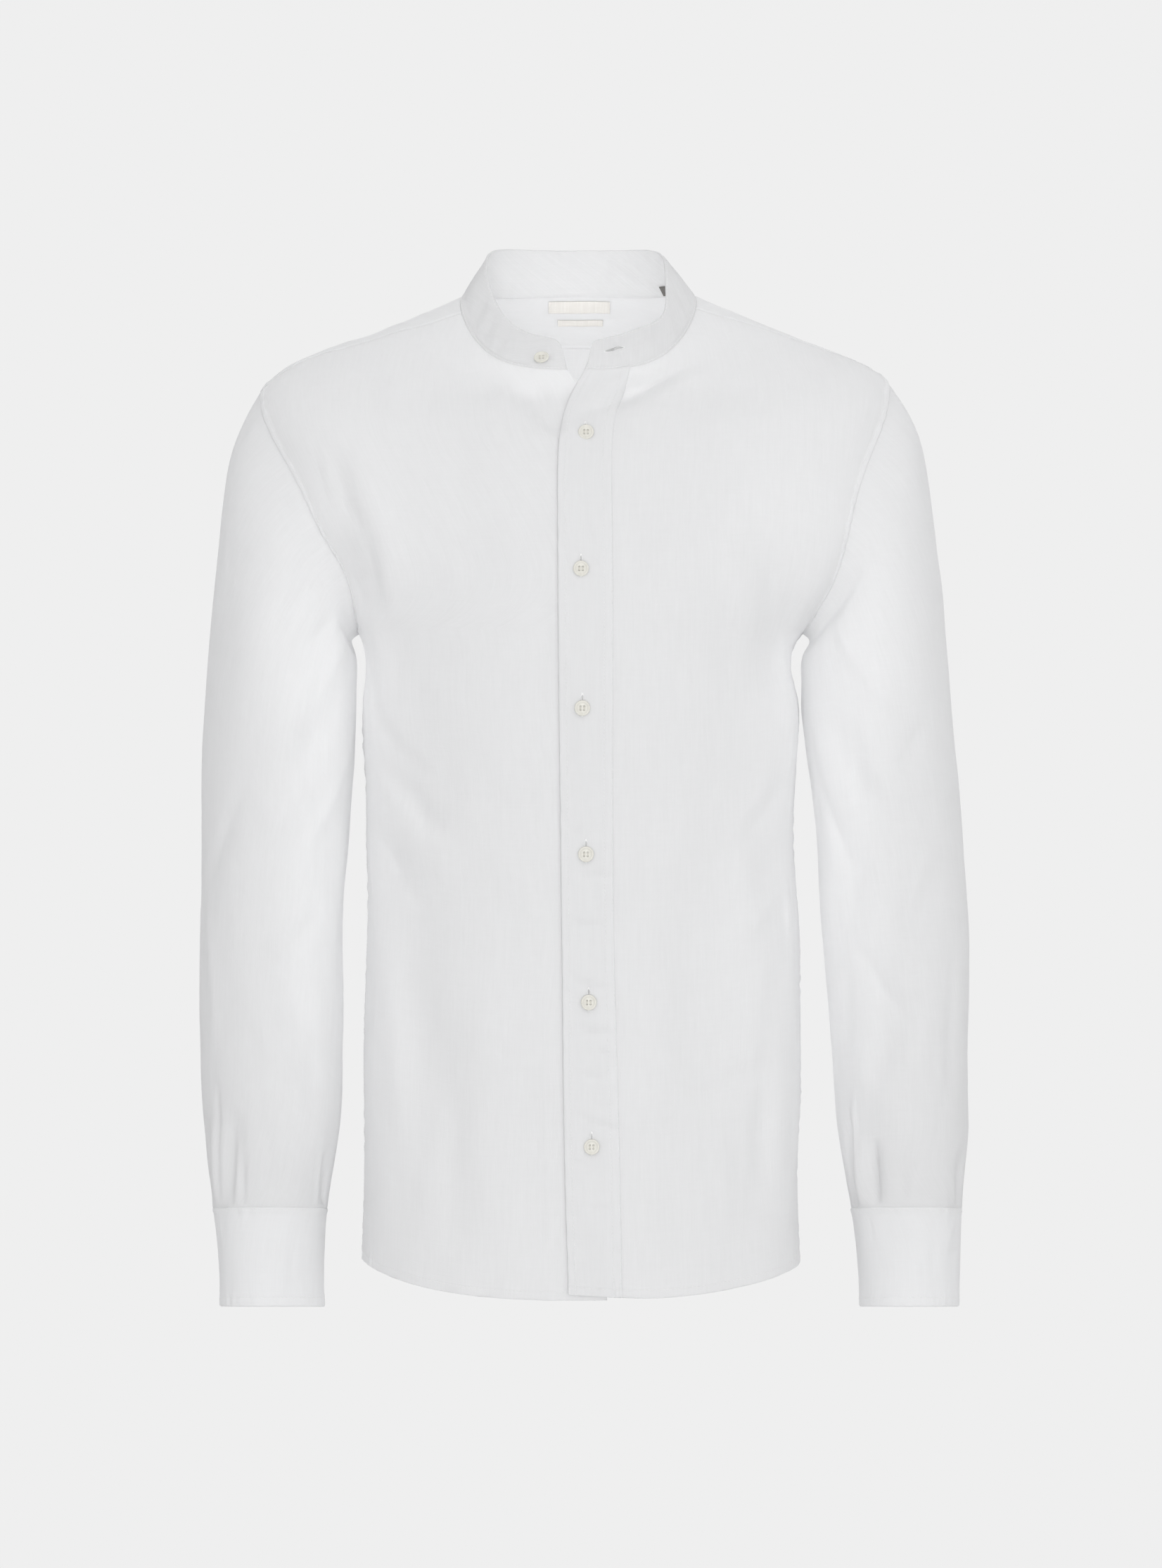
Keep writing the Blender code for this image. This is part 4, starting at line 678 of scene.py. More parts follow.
def right_lip():
    """For each row, the x of the line of the right front that lies just at the left front's edge."""
    edges = opening_at(front_levels())
    return np.minimum(edges["free_x"] - LIP_SETBACK, edges["under_x"] - LIP_LEAST)


def front_right_places():
    under, lip = opening_at(front_levels())["under_x"], right_lip()
    hidden = [under + (lip - under) * share for share in np.linspace(0, 1, UNDER_COLUMNS + 1)]
    ramp = [lip - RAMP_WIDTH * share for share in np.linspace(0, 1, RAMP_COLUMNS + 1)]
    return front_places(RIGHT, hidden + ramp[1:])


def dip(points, places):
    """How the right front goes in below the left front, before it reaches that front's edge."""
    deep = smooth_step((points[..., 0] - right_lip()[:, None] + RAMP_WIDTH) / RAMP_WIDTH)
    deep = deep * smooth_step((NECK_LEVEL - places[..., 1]) / RAMP_FADE) * OVERLAP_DEPTH
    return outward(torso_skin, places[..., 0], places[..., 1]) * deep[..., None]


def yoke_places():
    """The yoke's grid, from the neck seam out, and from the left front seam round the back to the right."""
    ends = {side: round_back(front_yoke_seam(side, YOKE_SEAM), side) for side in (LEFT, RIGHT)}
    arms = {side: round_back(armhole(armhole_turns(side)[1]), side) for side in (LEFT, RIGHT)}
    outer = np.concatenate([arms[LEFT], back_yoke_seam()[1:-1], arms[RIGHT][::-1]])
    first, last = ends[LEFT][0, 0], ends[RIGHT][0, 0]
    neck = as_places(first + (last - first) * shares_along(outer), NECK_LEVEL)
    return filled(neck, outer, ends[LEFT], ends[RIGHT])


def back_yoke_seam():
    """Places on the back yoke seam, from the left armhole to the right one."""
    count = YOKE_WIDE - 2 * ARMHOLE_YOKE
    outer_angle, outer_level = armhole(YOKE_BACK_TURN)
    across = 2 * divided(YOKE_BACK_WIDE, count, WIDE_STEPS, WIDE_STEPS) - 1
    level = YOKE_BACK_LEVEL + (outer_level - YOKE_BACK_LEVEL) * np.abs(across) ** YOKE_BACK_BEND
    return as_places(math.pi + across * (math.pi - outer_angle), level)


def back_places():
    """The back's grid, from the hem up, and from the left side seam round to the right one."""
    sides = {side: round_back(side_edge(armhole_turns(side)[2][::-1]), side) for side in (LEFT, RIGHT)}
    top = back_yoke_seam()
    hem = as_places(math.pi / 2 + math.pi * shares_along(top), HEM_LEVEL)
    return filled(hem, top, sides[LEFT], sides[RIGHT], HEM_TO_UNDERARM)


# ---- sleeves and cuffs


def sleeve_rings(side, turns):
    """The sleeve's ring points, one row for each table row, before its folds."""
    rows = [dict(zip(SLEEVE_COLUMNS, row)) for row in SLEEVE_RINGS]
    name = "left" if side == LEFT else "right"
    rings = []
    for row in rows:
        outer = np.array([side * row[name + "_outer"], row["outer_z"]])
        inner = np.array([side * row[name + "_inner"], row["inner_z"]])
        flat = (outer + inner) / 2 - (outer - inner) / 2 * np.cos(turns)[:, None]
        middle, depth = (row["front_y"] + row["back_y"]) / 2, (row["back_y"] - row["front_y"]) / 2
        y = middle - depth * np.sin(turns)
        z = flat[:, 1] + row["rise"] * np.sin(turns)
        rings.append(np.stack([flat[:, 0], y, z], axis=-1))
    return np.array(rings)


def armhole_points(side):
    """The armhole seam's points, with the turns round the sleeve that they belong to."""
    turns = np.concatenate([part[:-1] for part in armhole_turns(side)])
    places = armhole(turns)
    return torso(side * places[:, 0], places[:, 1]), turns


def sleeve_points(side, along):
    """Points down the sleeve from the armhole seam, one row for each distance along."""
    loop, turns = armhole_points(side)
    rings = sleeve_rings(side, turns)
    points = spline([row[0] for row in SLEEVE_RINGS], rings, along)
    fade = 1 - smooth_step(np.asarray(along) / ARMHOLE_FADE)
    points = points + (loop - rings[0]) * fade[:, None, None]
    seam, along = SLEEVE_RINGS[CUFF_SEAM_ROW][0], np.asarray(along)[:, None]
    height = sleeve_folds(SLEEVE_FOLDS[side], turns, points)
    height = height * smooth_step((along - CAP_FADE_FROM) / CAP_FADE)
    height = height * smooth_step((seam - along) / CUFF_FADE)
    cuff = sleeve_folds(CUFF_CREASES[side], turns, points) * smooth_step((along - seam) / CUFF_FADE)
    height = height + cuff + swells(points) * smooth_step(along / CAP_FADE)
    return points + unit(points - points.mean(axis=1, keepdims=True)) * height[..., None]


def cuff_points(side):
    """The cuff's strip, right round the sleeve's end and on over its own start by the lap."""
    turns = armhole_points(side)[1]
    first = np.searchsorted(turns, CUFF_START)
    lap = np.searchsorted(turns, CUFF_START + CUFF_LAP) - first
    columns = (first + np.arange(len(turns) + 1 + lap)) % len(turns)
    seam, edge = (SLEEVE_RINGS[row][0] for row in (CUFF_SEAM_ROW, CUFF_SEAM_ROW + 1))
    rows = seam + (edge - seam) * divided(edge - seam, CUFF_ROWS, NARROW_STEPS, WIDE_STEPS)
    points = sleeve_points(side, rows)[:, columns]
    before = np.arange(len(columns) - 1 - lap, -1, -1)
    rise = np.ones(len(columns))
    rise[: len(before)] = 1 - smooth_step(before / LAP_RISE_COLUMNS)
    return points, rise


# ---- the collar


def band(base_angle, top_angle, share):
    """Points of the band between the neck seam (share 0) and its top edge (share 1)."""
    share = np.asarray(share)[..., None]
    base = torso_skin(base_angle, NECK_LEVEL)
    opened = np.exp(-(((top_angle - COLLAR_OPEN_ANGLE) / COLLAR_OPEN_REACH) ** 2))
    edge = ring_point(top_angle, COLLAR_TOP["level"], COLLAR_TOP) + opened[..., None] * COLLAR_OPEN_PUSH
    return base * (1 - share) + edge * share


def collar_points(angles):
    """The band's grid over these angles of the neck seam, with its ends slanted and its top corners round."""
    from_left = gone_along(torso_skin(angles, NECK_LEVEL))
    gone = {LEFT: from_left, RIGHT: from_left[-1] - from_left}
    ends = {LEFT: angles[0], RIGHT: angles[-1] - TURN}
    top_angles, cut = angles, np.zeros(len(angles))
    for side, radius in COLLAR_CORNER.items():
        shift = angle_at_x(COLLAR_TOP, COLLAR_END_X[side]) - ends[side]
        top_angles = top_angles + shift * smooth_step(1 - gone[side] / COLLAR_END_REACH)
        away = np.clip(radius - gone[side], 0, radius)
        cut = np.maximum(cut, (radius - np.sqrt(radius**2 - away**2)) / COLLAR_HEIGHT)
    rows = divided(COLLAR_HEIGHT, COLLAR_ROWS, NARROW_STEPS, NARROW_STEPS)
    share = rows[:, None] * (1 - cut)
    points = band(angles[None, :], top_angles[None, :], share)
    height = fold_height(from_left[None, :], share * COLLAR_HEIGHT, BAND_CREASES)
    height = (height + swells(points)) * smooth_step(share * COLLAR_HEIGHT / CUFF_FADE)
    return points + unit(summed_normals(points, False)) * height[..., None]


# ---- normals and relief


def summed_normals(points, closed):
    """Each quad's unit normal added to its four corners."""
    wrapped = np.concatenate([points, points[:, :1]], axis=1) if closed else points
    face = unit(np.cross(wrapped[1:, 1:] - wrapped[:-1, :-1], wrapped[1:, :-1] - wrapped[:-1, 1:]))
    total = np.zeros(points.shape)
    rows, columns = face.shape[:2]
    for row in (0, 1):
        for column in (0, 1):
            target = (np.arange(columns) + column) % points.shape[1]
            total[row : row + rows, target] += face
    return total


def shared_normals(grids, closed):
    """Unit normals for each named grid, alike wherever the edges of two grids meet."""
    found = {name: summed_normals(grid, name in closed) for name, grid in grids.items()}
    owners = []
    for name, grid in grids.items():
        on_edge = np.ones(grid.shape[:2], bool)
        on_edge[1:-1, :] &= name not in closed
        on_edge[1:-1, 1:-1] = False
        owners += [(name, row, column) for row, column in np.argwhere(on_edge)]
    tree = KDTree(len(owners))
    for i, (name, row, column) in enumerate(owners):
        tree.insert(grids[name][row, column], i)
    tree.balance()
    sums = [found[name][row, column].copy() for name, row, column in owners]
    for name, row, column in owners:
        near = tree.find_range(grids[name][row, column], SAME_PLACE)
        found[name][row, column] = sum(sums[i] for _, i, _ in near)
    return {name: unit(total) for name, total in found.items()}


def distances(points, closed=False):
    """Distances along a grid's rows from their first points, and up its columns from the bottom row."""
    if closed:
        points = np.concatenate([points, points[:, :1]], axis=1)
    across, up = np.zeros(points.shape[:2]), np.zeros(points.shape[:2])
    across[:, 1:] = np.cumsum(np.linalg.norm(np.diff(points, axis=1), axis=-1), axis=1)
    up[1:] = np.cumsum(np.linalg.norm(np.diff(points, axis=0), axis=-1), axis=0)
    return across, up


def inwards(grid, edge):
    """A view of a grid, turned so that its rows run inwards from this edge."""
    turned = grid.swapaxes(0, 1) if edge in ("bottom", "top") else grid
    return turned[:, ::-1] if edge in ("last", "top") else turned


def relief(points, edges, closed, seed):
    """The height of turned layers, grooves and puckers beside a grid's edges, and where it is layered."""
    width = points.shape[1]
    across, up = (measured[:, :width] for measured in distances(points, closed))
    depth, raised, total = (np.zeros(points.shape[:2]) for _ in range(3))
    for number, (edge, kind, start, stop) in enumerate(edges):
        beside = RELIEFS[kind]
        order = (across, up) if edge in ("first", "last") else (up, across)
        away, along = (inwards(measured, edge)[start:stop] for measured in order)
        away, along = np.abs(away - away[:, :1]), along[:, :1]
        deep, high, sewn = (inwards(heights, edge)[start:stop] for heights in (depth, raised, total))
        deep[:] = np.maximum(deep, beside["depth"] * np.exp(-((away / EDGE_ROUND) ** 2)))
        fall = 1 - smooth_step((away - beside["wide"]) / STEP_FALL)
        high[:] = np.maximum(high, beside["raised"] * smooth_step(away / STEP_RISE) * fall)
        wavy = puckers(along, beside["size"], seed + number) * beside["pucker"]
        sewn += wavy * smooth_step(away / EDGE_ROUND) * np.exp(-((away / beside["reach"]) ** 2))
        sewn -= beside["groove"] * np.exp(-(((away - beside["stitch"]) / GROOVE_WIDE) ** 2))
    return raised + total - depth, raised > LAYER_LEAST


# ---- cloth shells


def at_corners(grid):
    """What a grid holds at the four corners of each of its quads."""
    return np.stack([grid[:-1, :-1], grid[:-1, 1:], grid[1:, 1:], grid[1:, :-1]], axis=2)


def all_round(grid):
    """What a grid holds along its four edges, from its first corner round to it again."""
    return np.concatenate([grid[0], grid[1:, -1], grid[-1, -2::-1], grid[-2::-1, 0]])


def shell(name, outer, normals, thick, finish, closed=False, layered=None):
    """A thin closed wall inside an outer grid, with rounded rims and a flat map of the cloth in metres.

    Where all four corners of a quad are layered, both its faces have the finish of layered cloth.
    """
    inner = outer - normals * thick
    rows, columns = outer.shape[:2]
    count = rows * columns
    index = np.arange(count).reshape(rows, columns)
    if closed:
        index = np.concatenate([index, index[:, :1]], axis=1)
    flat = np.stack(distances(outer, closed), axis=-1)
    faces, maps = at_corners(index).reshape(-1, 4), at_corners(flat).reshape(-1, 4, 2)
    doubled = np.zeros(len(faces), bool) if layered is None else layered.reshape(-1)[faces].all(axis=1)
    faces, maps = [faces, faces[:, ::-1] + count], [maps, maps[:, ::-1]]

    away = np.zeros(outer.shape)
    for edge in ("bottom", "top") if closed else ("bottom", "top", "first", "last"):
        line, next_line = inwards(outer, edge)[:, :2].swapaxes(0, 1)
        inwards(away, edge)[:, 0] += unit(line - next_line)
    if closed:
        loops = [(index[0], flat[0]), (index[-1, ::-1], flat[-1, ::-1])]
    else:
        loops = [(all_round(index), all_round(flat))]
    middle = ((outer + inner) / 2 + unit(away) * thick * RIM_BULGE).reshape(-1, 3)
    vertices = [outer.reshape(-1, 3), inner.reshape(-1, 3)]
    made = 2 * count
    for loop, loop_map in loops:
        vertices.append(middle[loop[:-1]])
        rim = made + np.append(np.arange(len(loop) - 1), 0)
        made += len(loop) - 1
        for one, other in ((loop, rim), (rim, loop + count)):
            faces.append(np.stack([one[:-1], other[:-1], other[1:], one[1:]], axis=-1))
            maps.append(np.stack([loop_map[:-1], loop_map[:-1], loop_map[1:], loop_map[1:]], axis=-2))
    thing = mesh_object(name, np.concatenate(vertices), np.concatenate(faces), finish, np.concatenate(maps))
    if doubled.any():
        thing.data.materials.append(LAYERED)
        index = np.zeros(len(thing.data.polygons), np.int32)
        index[: 2 * len(doubled)] = np.concatenate([doubled, doubled])
        thing.data.polygons.foreach_set("material_index", index)
    return thing


def mesh_object(name, vertices, faces, finish, maps=None):
    mesh = bpy.data.meshes.new(name)
    faces = faces.tolist() if isinstance(faces, np.ndarray) else faces
    mesh.from_pydata(np.asarray(vertices).tolist(), [], faces)
    if maps is not None:
        mesh.uv_layers.new(name="cloth").data.foreach_set("uv", maps.ravel())
    mesh.materials.append(finish)
    mesh.shade_smooth()
    return in_scene(name, mesh)


def in_scene(name, data):
    """A new object of the scene that shows this mesh, light or camera."""
    thing = bpy.data.objects.new(name, data)
    bpy.context.scene.collection.objects.link(thing)
    return thing


def shown(thing, slot, *nodes):
    """A finished piece of the shirt, which stands for these solids."""
    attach(thing, "root")
    if nodes:
        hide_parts(*nodes)
    return thing


# ---- threads


def threads(centres, along, out, long, wide):
    """Short rounded threads at these centres, lying along their directions. Returns points and faces."""
    along = unit(along)
    side = unit(np.cross(out, along))
    out = np.cross(along, side)
    shape = [(-long / 2, 0, 0)]
    for x in (-long / 4, long / 4):
        shape += [(x, wide / 2 * y, wide / 2 * z) for y, z in ((1, 0), (0, 1), (-1, 0), (0, -1))]
    shape.append((long / 2, 0, 0))
    near, far, tip = 1, 5, 9
    sides = [(k, (k + 1) % 4) for k in range(4)]
    faces = [(0, near + other, near + k) for k, other in sides]
    faces += [(near + k, near + other, far + other, far + k) for k, other in sides]
    faces += [(tip, far + k, far + other) for k, other in sides]
    shape = np.array(shape)
    points = centres[:, None] + along[:, None] * shape[None, :, :1]
    points = points + side[:, None] * shape[None, :, 1:2] + out[:, None] * shape[None, :, 2:]
    everything = [tuple(i + len(shape) * n for i in face) for n in range(len(centres)) for face in faces]
    return points.reshape(-1, 3), everything


def line_beside(points, normals, edge, distance, start, stop):
    """The line on a grid that runs this far inside one of its edges, with its normals."""
    both = inwards(np.concatenate([points, normals], axis=-1), edge)[start:stop]
    line = np.array([read_at(distance, gone_along(row[:, :3]), row) for row in both])
    return line[:, :3], unit(line[:, 3:])


def stitched(line, out):
    """A run of stitches along a line."""
    gone = gone_along(line)
    at = np.arange(STITCH_PITCH / 2, gone[-1], STITCH_PITCH)
    tangents = unit(np.gradient(line, axis=0))
    centres, tangents, out = (read_at(at, gone, values) for values in (line, tangents, out))
    return threads(centres + unit(out) * STITCH_LIFT, tangents, unit(out), STITCH_LONG, STITCH_WIDE)


def thread_object(name, runs, finish):
    """One object from several runs of threads."""
    vertices, faces, made = [], [], 0
    for points, quads in runs:
        vertices.append(points)
        faces += [tuple(i + made for i in face) for face in quads]
        made += len(points)
    return mesh_object(name, np.concatenate(vertices), faces, finish)


def settled(points, grid, normals, lift):
    """Points set down on a grid, each on the plane of the grid's nearest point."""
    flat, out = grid.reshape(-1, 3), normals.reshape(-1, 3)
    nearest = [int(np.argmin(((flat - point) ** 2).sum(axis=1))) for point in points]
    out, off = out[nearest], points - flat[nearest]
    return points - out * (off * out).sum(axis=1, keepdims=True) + out * lift, out


def buttonhole(place, along, up, long, open_wide, grid, normals):
    """Satin stitches round a slit, and the dark lens of painted shade that shows between them, both as points
    and faces.
    """
    count = int(2 * long / SATIN_PITCH)
    turn = np.arange(count) * TURN / count
    turn = turn - HOLE_GATHER * np.sin(2 * turn)
    edge = place + np.outer(np.cos(turn) * long / 2, along) + np.outer(np.sin(turn) * open_wide / 2, up)
    away = unit(np.outer(np.cos(turn) ** 3, along) + np.outer(np.sin(turn), up))
    centres, out = settled(edge + away * SATIN_LONG / 2, grid, normals, SATIN_LIFT)
    satin = threads(centres, away, out, SATIN_LONG, SATIN_WIDE)
    lens = settled(edge, grid, normals, SLIT_LIFT)[0]
    return satin, (lens, [tuple(range(count))])


# ---- buttons


def button_mesh(finish, thread_finish):
    """A button with a rim, a dish and four holes, sewn on with two pairs of threads."""
    turn = np.arange(BUTTON_SEGMENTS) * TURN / BUTTON_SEGMENTS
    around = np.stack([np.cos(turn), np.sin(turn), np.ones(len(turn))], axis=-1)
    rings = [around * (radius, radius, height) for radius, height in BUTTON_PROFILE]
    vertices = np.concatenate([*rings, [(0, 0, BUTTON_PROFILE[0][1])], [(0, 0, BUTTON_PROFILE[-1][1])]])
    n, last = BUTTON_SEGMENTS, len(BUTTON_PROFILE) - 1
    faces = []
    for k in range(n):
        other = (k + 1) % n
        faces += [(row * n + k, row * n + other, row * n + n + other, row * n + n + k) for row in range(last)]
        faces += [(len(vertices) - 2, other, k), (len(vertices) - 1, last * n + k, last * n + other)]
    body = mesh_object("button_blank", vertices, faces, finish)
    cutter = bmesh.new()
    for x, y in BUTTON_HOLES:
        place = Matrix.Translation((x, y, BUTTON_THICK / 2))
        bmesh.ops.create_cone(cutter, cap_ends=True, segments=HOLE_SEGMENTS, radius1=HOLE_RADIUS,
                              radius2=HOLE_RADIUS, depth=BUTTON_THICK * 2, matrix=place)
    holes = bpy.data.meshes.new("holes")
    cutter.to_mesh(holes)
    cutter.free()
    tool = in_scene("button_holes", holes)
    cut = body.modifiers.new("holes", "BOOLEAN")
    cut.object, cut.operation, cut.solver = tool, "DIFFERENCE", "EXACT"
    bpy.context.view_layer.update()
    made = bpy.data.meshes.new_from_object(body.evaluated_get(bpy.context.evaluated_depsgraph_get()))
    for thing in (body, tool):
        bpy.data.objects.remove(thing, do_unlink=True)

    height = BUTTON_PROFILE[-1][1] + SATIN_LIFT
    strands = np.array([(x + shift, 0, height) for x in (-HOLE_APART, HOLE_APART) for shift in STRANDS])
    along, out = (np.tile(direction, (len(strands), 1)) for direction in ((0.0, 1.0, 0.0), UP))
    points, quads = threads(strands, along, out, STRAND_LONG, STRAND_WIDE)
    shape = bmesh.new()
    shape.from_mesh(made)
    added = [shape.verts.new(point) for point in points]
    for quad in quads:
        shape.faces.new([added[i] for i in quad]).material_index = 1
    shape.to_mesh(made)
    shape.free()
    made.name = "button"
    made.materials.clear()
    for one in (finish, thread_finish):
        made.materials.append(one)
    made.shade_smooth()
    made.set_sharp_from_angle(angle=SHARP_FROM)
    return made


def place_button(name, mesh, place, normal):
    thing = in_scene(name + "_look", mesh)
    out = Vector(normal)
    across = Vector((1, 0, 0)) - out * out.x
    across.normalize()
    frame_of = Matrix((across, out.cross(across), out)).transposed().to_4x4()
    thing.matrix_world = Matrix.Translation(Vector(place)) @ frame_of
    return shown(thing, "button", name)


# ---- finishes


def node(tree, kind, inputs, **settings):
    """A new node with its settings, and its inputs given as values or as sockets to link."""
    made = tree.nodes.new(kind)
    for name, value in settings.items():
        setattr(made, name, value)
    for name, value in inputs.items():
        if isinstance(value, bpy.types.NodeSocket):
            tree.links.new(value, made.inputs[name])
        else:
            made.inputs[name].default_value = value
    return made


def multiply_add(tree, first, second, third):
    """The first number times the second, plus the third."""
    return node(tree, "ShaderNodeMath", {0: first, 1: second, 2: third}, operation="MULTIPLY_ADD").outputs[0]


def new_finish(name, roughness, **constants):
    made = bpy.data.materials.new(name)
    made.use_nodes = True
    shader = made.node_tree.nodes["Principled BSDF"]
    shader.inputs["Roughness"].default_value = roughness
    for socket, value in constants.items():
        shader.inputs[socket.replace("_", " ")].default_value = value
    return made, made.node_tree, shader


def surfaced(tree, shader, shade, height, dark, light, relief_deep, ends=(0.0, 1.0)):
    """Gives a shader its colours, from dark to light between these ends of the shade, and its fine relief."""
    ramp = node(tree, "ShaderNodeValToRGB", {"Fac": shade})
    for stop, position, colour in zip(ramp.color_ramp.elements, ends, (dark, light)):
        stop.position, stop.color = position, (*colour, 1)
    bump = node(tree, "ShaderNodeBump", {"Height": height, "Strength": 1.0, "Distance": relief_deep})
    colour, normal = ramp.outputs["Color"], bump.outputs["Normal"]
    tree.links.new(colour, shader.inputs["Base Color"])
    tree.links.new(normal, shader.inputs["Normal"])
    return colour, normal


def woven(name, dark, light, relief_deep, roughness=0.85, sheen=0.12, seen_through=0.0):
    """Plain-woven cloth: warp and weft threads of uneven thickness, with longer slubs among them."""
    made, tree, shader = new_finish(name, roughness, Sheen_Weight=sheen, Sheen_Roughness=0.5)
    flat = node(tree, "ShaderNodeUVMap", {}, uv_map="cloth").outputs["UV"]
    both = node(tree, "ShaderNodeValue", {}).outputs[0]
    both.default_value = 0.0
    for across, along, detail, share in YARNS:
        drawn_out = node(tree, "ShaderNodeMapping", {"Vector": flat, "Scale": (across, along, 1)})
        noise = {"Vector": drawn_out.outputs[0], "Scale": 1.0, "Detail": detail, "Roughness": YARN_ROUGHNESS}
        both = multiply_add(tree, node(tree, "ShaderNodeTexNoise", noise).outputs["Fac"], share, both)
    spread = {"Value": both, "From Min": YARN_RANGE[0], "From Max": YARN_RANGE[1]}
    shade = node(tree, "ShaderNodeMapRange", spread).outputs[0]
    colour, normal = surfaced(tree, shader, shade, both, dark, light, relief_deep)
    if seen_through:
        through = node(tree, "ShaderNodeBsdfTranslucent", {"Color": colour, "Normal": normal})
        sources = {0: seen_through, 1: shader.outputs["BSDF"], 2: through.outputs["BSDF"]}
        mixed = node(tree, "ShaderNodeMixShader", sources)
        tree.links.new(mixed.outputs[0], tree.nodes["Material Output"].inputs["Surface"])
    return made


def grained(name, dark, light, scale, relief_deep, roughness, **constants):
    """A finish of fine uneven grain, for thread and for moulded buttons."""
    made, tree, shader = new_finish(name, roughness, **constants)
    place = node(tree, "ShaderNodeTexCoord", {}).outputs["Object"]
    noise = node(tree, "ShaderNodeTexNoise", {"Vector": place, "Scale": scale, "Detail": 3.0}).outputs["Fac"]
    surfaced(tree, shader, noise, noise, dark, light, relief_deep, GRAIN_ENDS)
    return made


LINEN = woven("linen", (0.873, 0.874, 0.878), (0.905, 0.906, 0.910), 0.00007, seen_through=0.4)
LAYERED = woven("linen_in_layers", (0.893, 0.895, 0.901), (0.921, 0.923, 0.929), 0.00007, seen_through=0.3)
# A darker copy of the linen for the collar band: painted shade for the band, whose front end sits in shadow.
# The cloth itself is the same linen.
BAND_LINEN_PAINTED_SHADE = woven("linen_band_painted_shade", (0.812, 0.813, 0.817), (0.857, 0.858, 0.862), 0.00007, seen_through=0.38)
TAPE = woven("label_tape", (0.73, 0.705, 0.665), (0.81, 0.79, 0.755), 0.00012, 0.7)
# Near-black tape for the size tag: partly the tag's own dark tape, partly painted shadow of the gap at the
# band's end
TAG_TAPE_AND_SHADOW = woven("tag_tape_and_painted_shadow", (0.10, 0.095, 0.09), (0.18, 0.17, 0.16), 0.00012, 0.7)
THREAD = grained("thread", (0.88, 0.882, 0.885), (0.93, 0.932, 0.935), 2500, 0.00003, 0.6)
# A grey sheet laid in each open buttonhole: painted shade of the hole's recess
SLIT = grained("slit_shadow", (0.46, 0.46, 0.46), (0.56, 0.56, 0.56), 1500, 0.00003, 0.9)
CREAM = grained("cream_button", (0.66, 0.646, 0.59), (0.73, 0.717, 0.66), 350, 0.00003, 0.4, Coat_Weight=0.1)
PALE_FLOOR = grained("pale_floor", (0.80, 0.80, 0.80), (0.83, 0.83, 0.83), 6, 0.0005, 0.9)


# ---- the shirt's pieces


def torso_grids():
    """Outer faces of the torso's panels, each with its columns round from the left and its rows upwards."""
    places = {
        "front_left": front_left_places(),
        "front_right": front_right_places() * (-1, 1),
        "yoke": yoke_places(),
        "back": back_places(),
    }
    grids = {name: torso(grid[..., 0], grid[..., 1]) for name, grid in places.items()}
    grids["front_right"] = (grids["front_right"] - dip(grids["front_right"], places["front_right"]))[:, ::-1]
    grids["yoke"] = grids["yoke"][::-1]
    return grids


def neck_angles():
    """Angles of the neck seam's points, from the left front edge round the back to the right front edge."""
    left = front_left_places()[-1, :, 0]
    right = TURN - front_right_places()[-1, :, 0]
    left, right = left[: len(left) - YOKE_SEAM], right[: len(right) - YOKE_SEAM]
    return np.concatenate([left, yoke_places()[0, 1:-1, 0], right[::-1]])


def sleeve_rows():
    seam = SLEEVE_RINGS[CUFF_SEAM_ROW][0]
    return seam * divided(seam, SLEEVE_ROWS, NARROW_STEPS, NARROW_STEPS)


def whole(**kinds):
    """Rows of the table of edges for whole edges, each with its kind."""
    return tuple((edge, kind, 0, None) for edge, kind in kinds.items())


# The edges of each piece that have relief: edge, kind, and the stretch of points along it that has it
ARM, WAY, SIDE_END = ARMHOLE_YOKE, YOKE_WIDE - ARMHOLE_YOKE, HEM_TO_UNDERARM
EDGES = {
    "front_left": whole(bottom="hem", last="felled", top="seam", first="free"),
    "front_right": whole(bottom="hem", first="felled", top="seam"),
    "back": (*whole(bottom="hem"), ("first", "felled", SIDE_END, None), ("last", "felled", SIDE_END, None),
             ("first", "seam", 0, SIDE_END), ("last", "seam", 0, SIDE_END), *whole(top="seam")),
    "yoke": (("bottom", "felled", 0, ARM), ("bottom", "narrow", ARM, WAY), ("bottom", "felled", WAY, None),
             *whole(top="seam", first="narrow", last="narrow")),
    "collar_band": whole(bottom="narrow", top="band_edge", first="band_edge", last="band_edge"),
    "sleeve": whole(bottom="seam", top="seam"),
    "cuff_left": whole(top="narrow", bottom="cuff_edge", first="cuff_edge", last="cuff_edge"),
    "cuff_right": whole(bottom="narrow", top="cuff_edge", first="cuff_edge", last="cuff_edge"),
    "front_placket": (*whole(first="front_edge", last="strip_edge"),
                      *whole(last="edge_run", bottom="hem", top="seam")),
    "sleeve_placket": whole(first="band_edge", last="band_edge"),
    "label": whole(first="tape", last="tape", bottom="tape", top="tape"),
}


def without_side(name):
    return name.removesuffix("_left").removesuffix("_right")


def dress(name, points, normals, edges, seed, thick=THIN, finish=LINEN, closed=False):
    """One cloth piece with its relief and its stitches, standing for the solid of the same name."""
    height, layered = relief(points, edges, closed, seed)
    outer = points + normals * height[..., None]
    layered = layered if finish is LINEN else None
    piece = shown(shell(name + "_cloth", outer, normals, thick, finish, closed, layered), "linen", name)
    runs = []
    for edge, kind, start, stop in edges:
        distance = RELIEFS[kind]["stitch"]
        if distance:
            runs.append(stitched(*line_beside(outer, normals, edge, distance, start, stop)))
    trims = [shown(thread_object(name + "_stitches", runs, THREAD), "linen")] if runs else []
    return outer


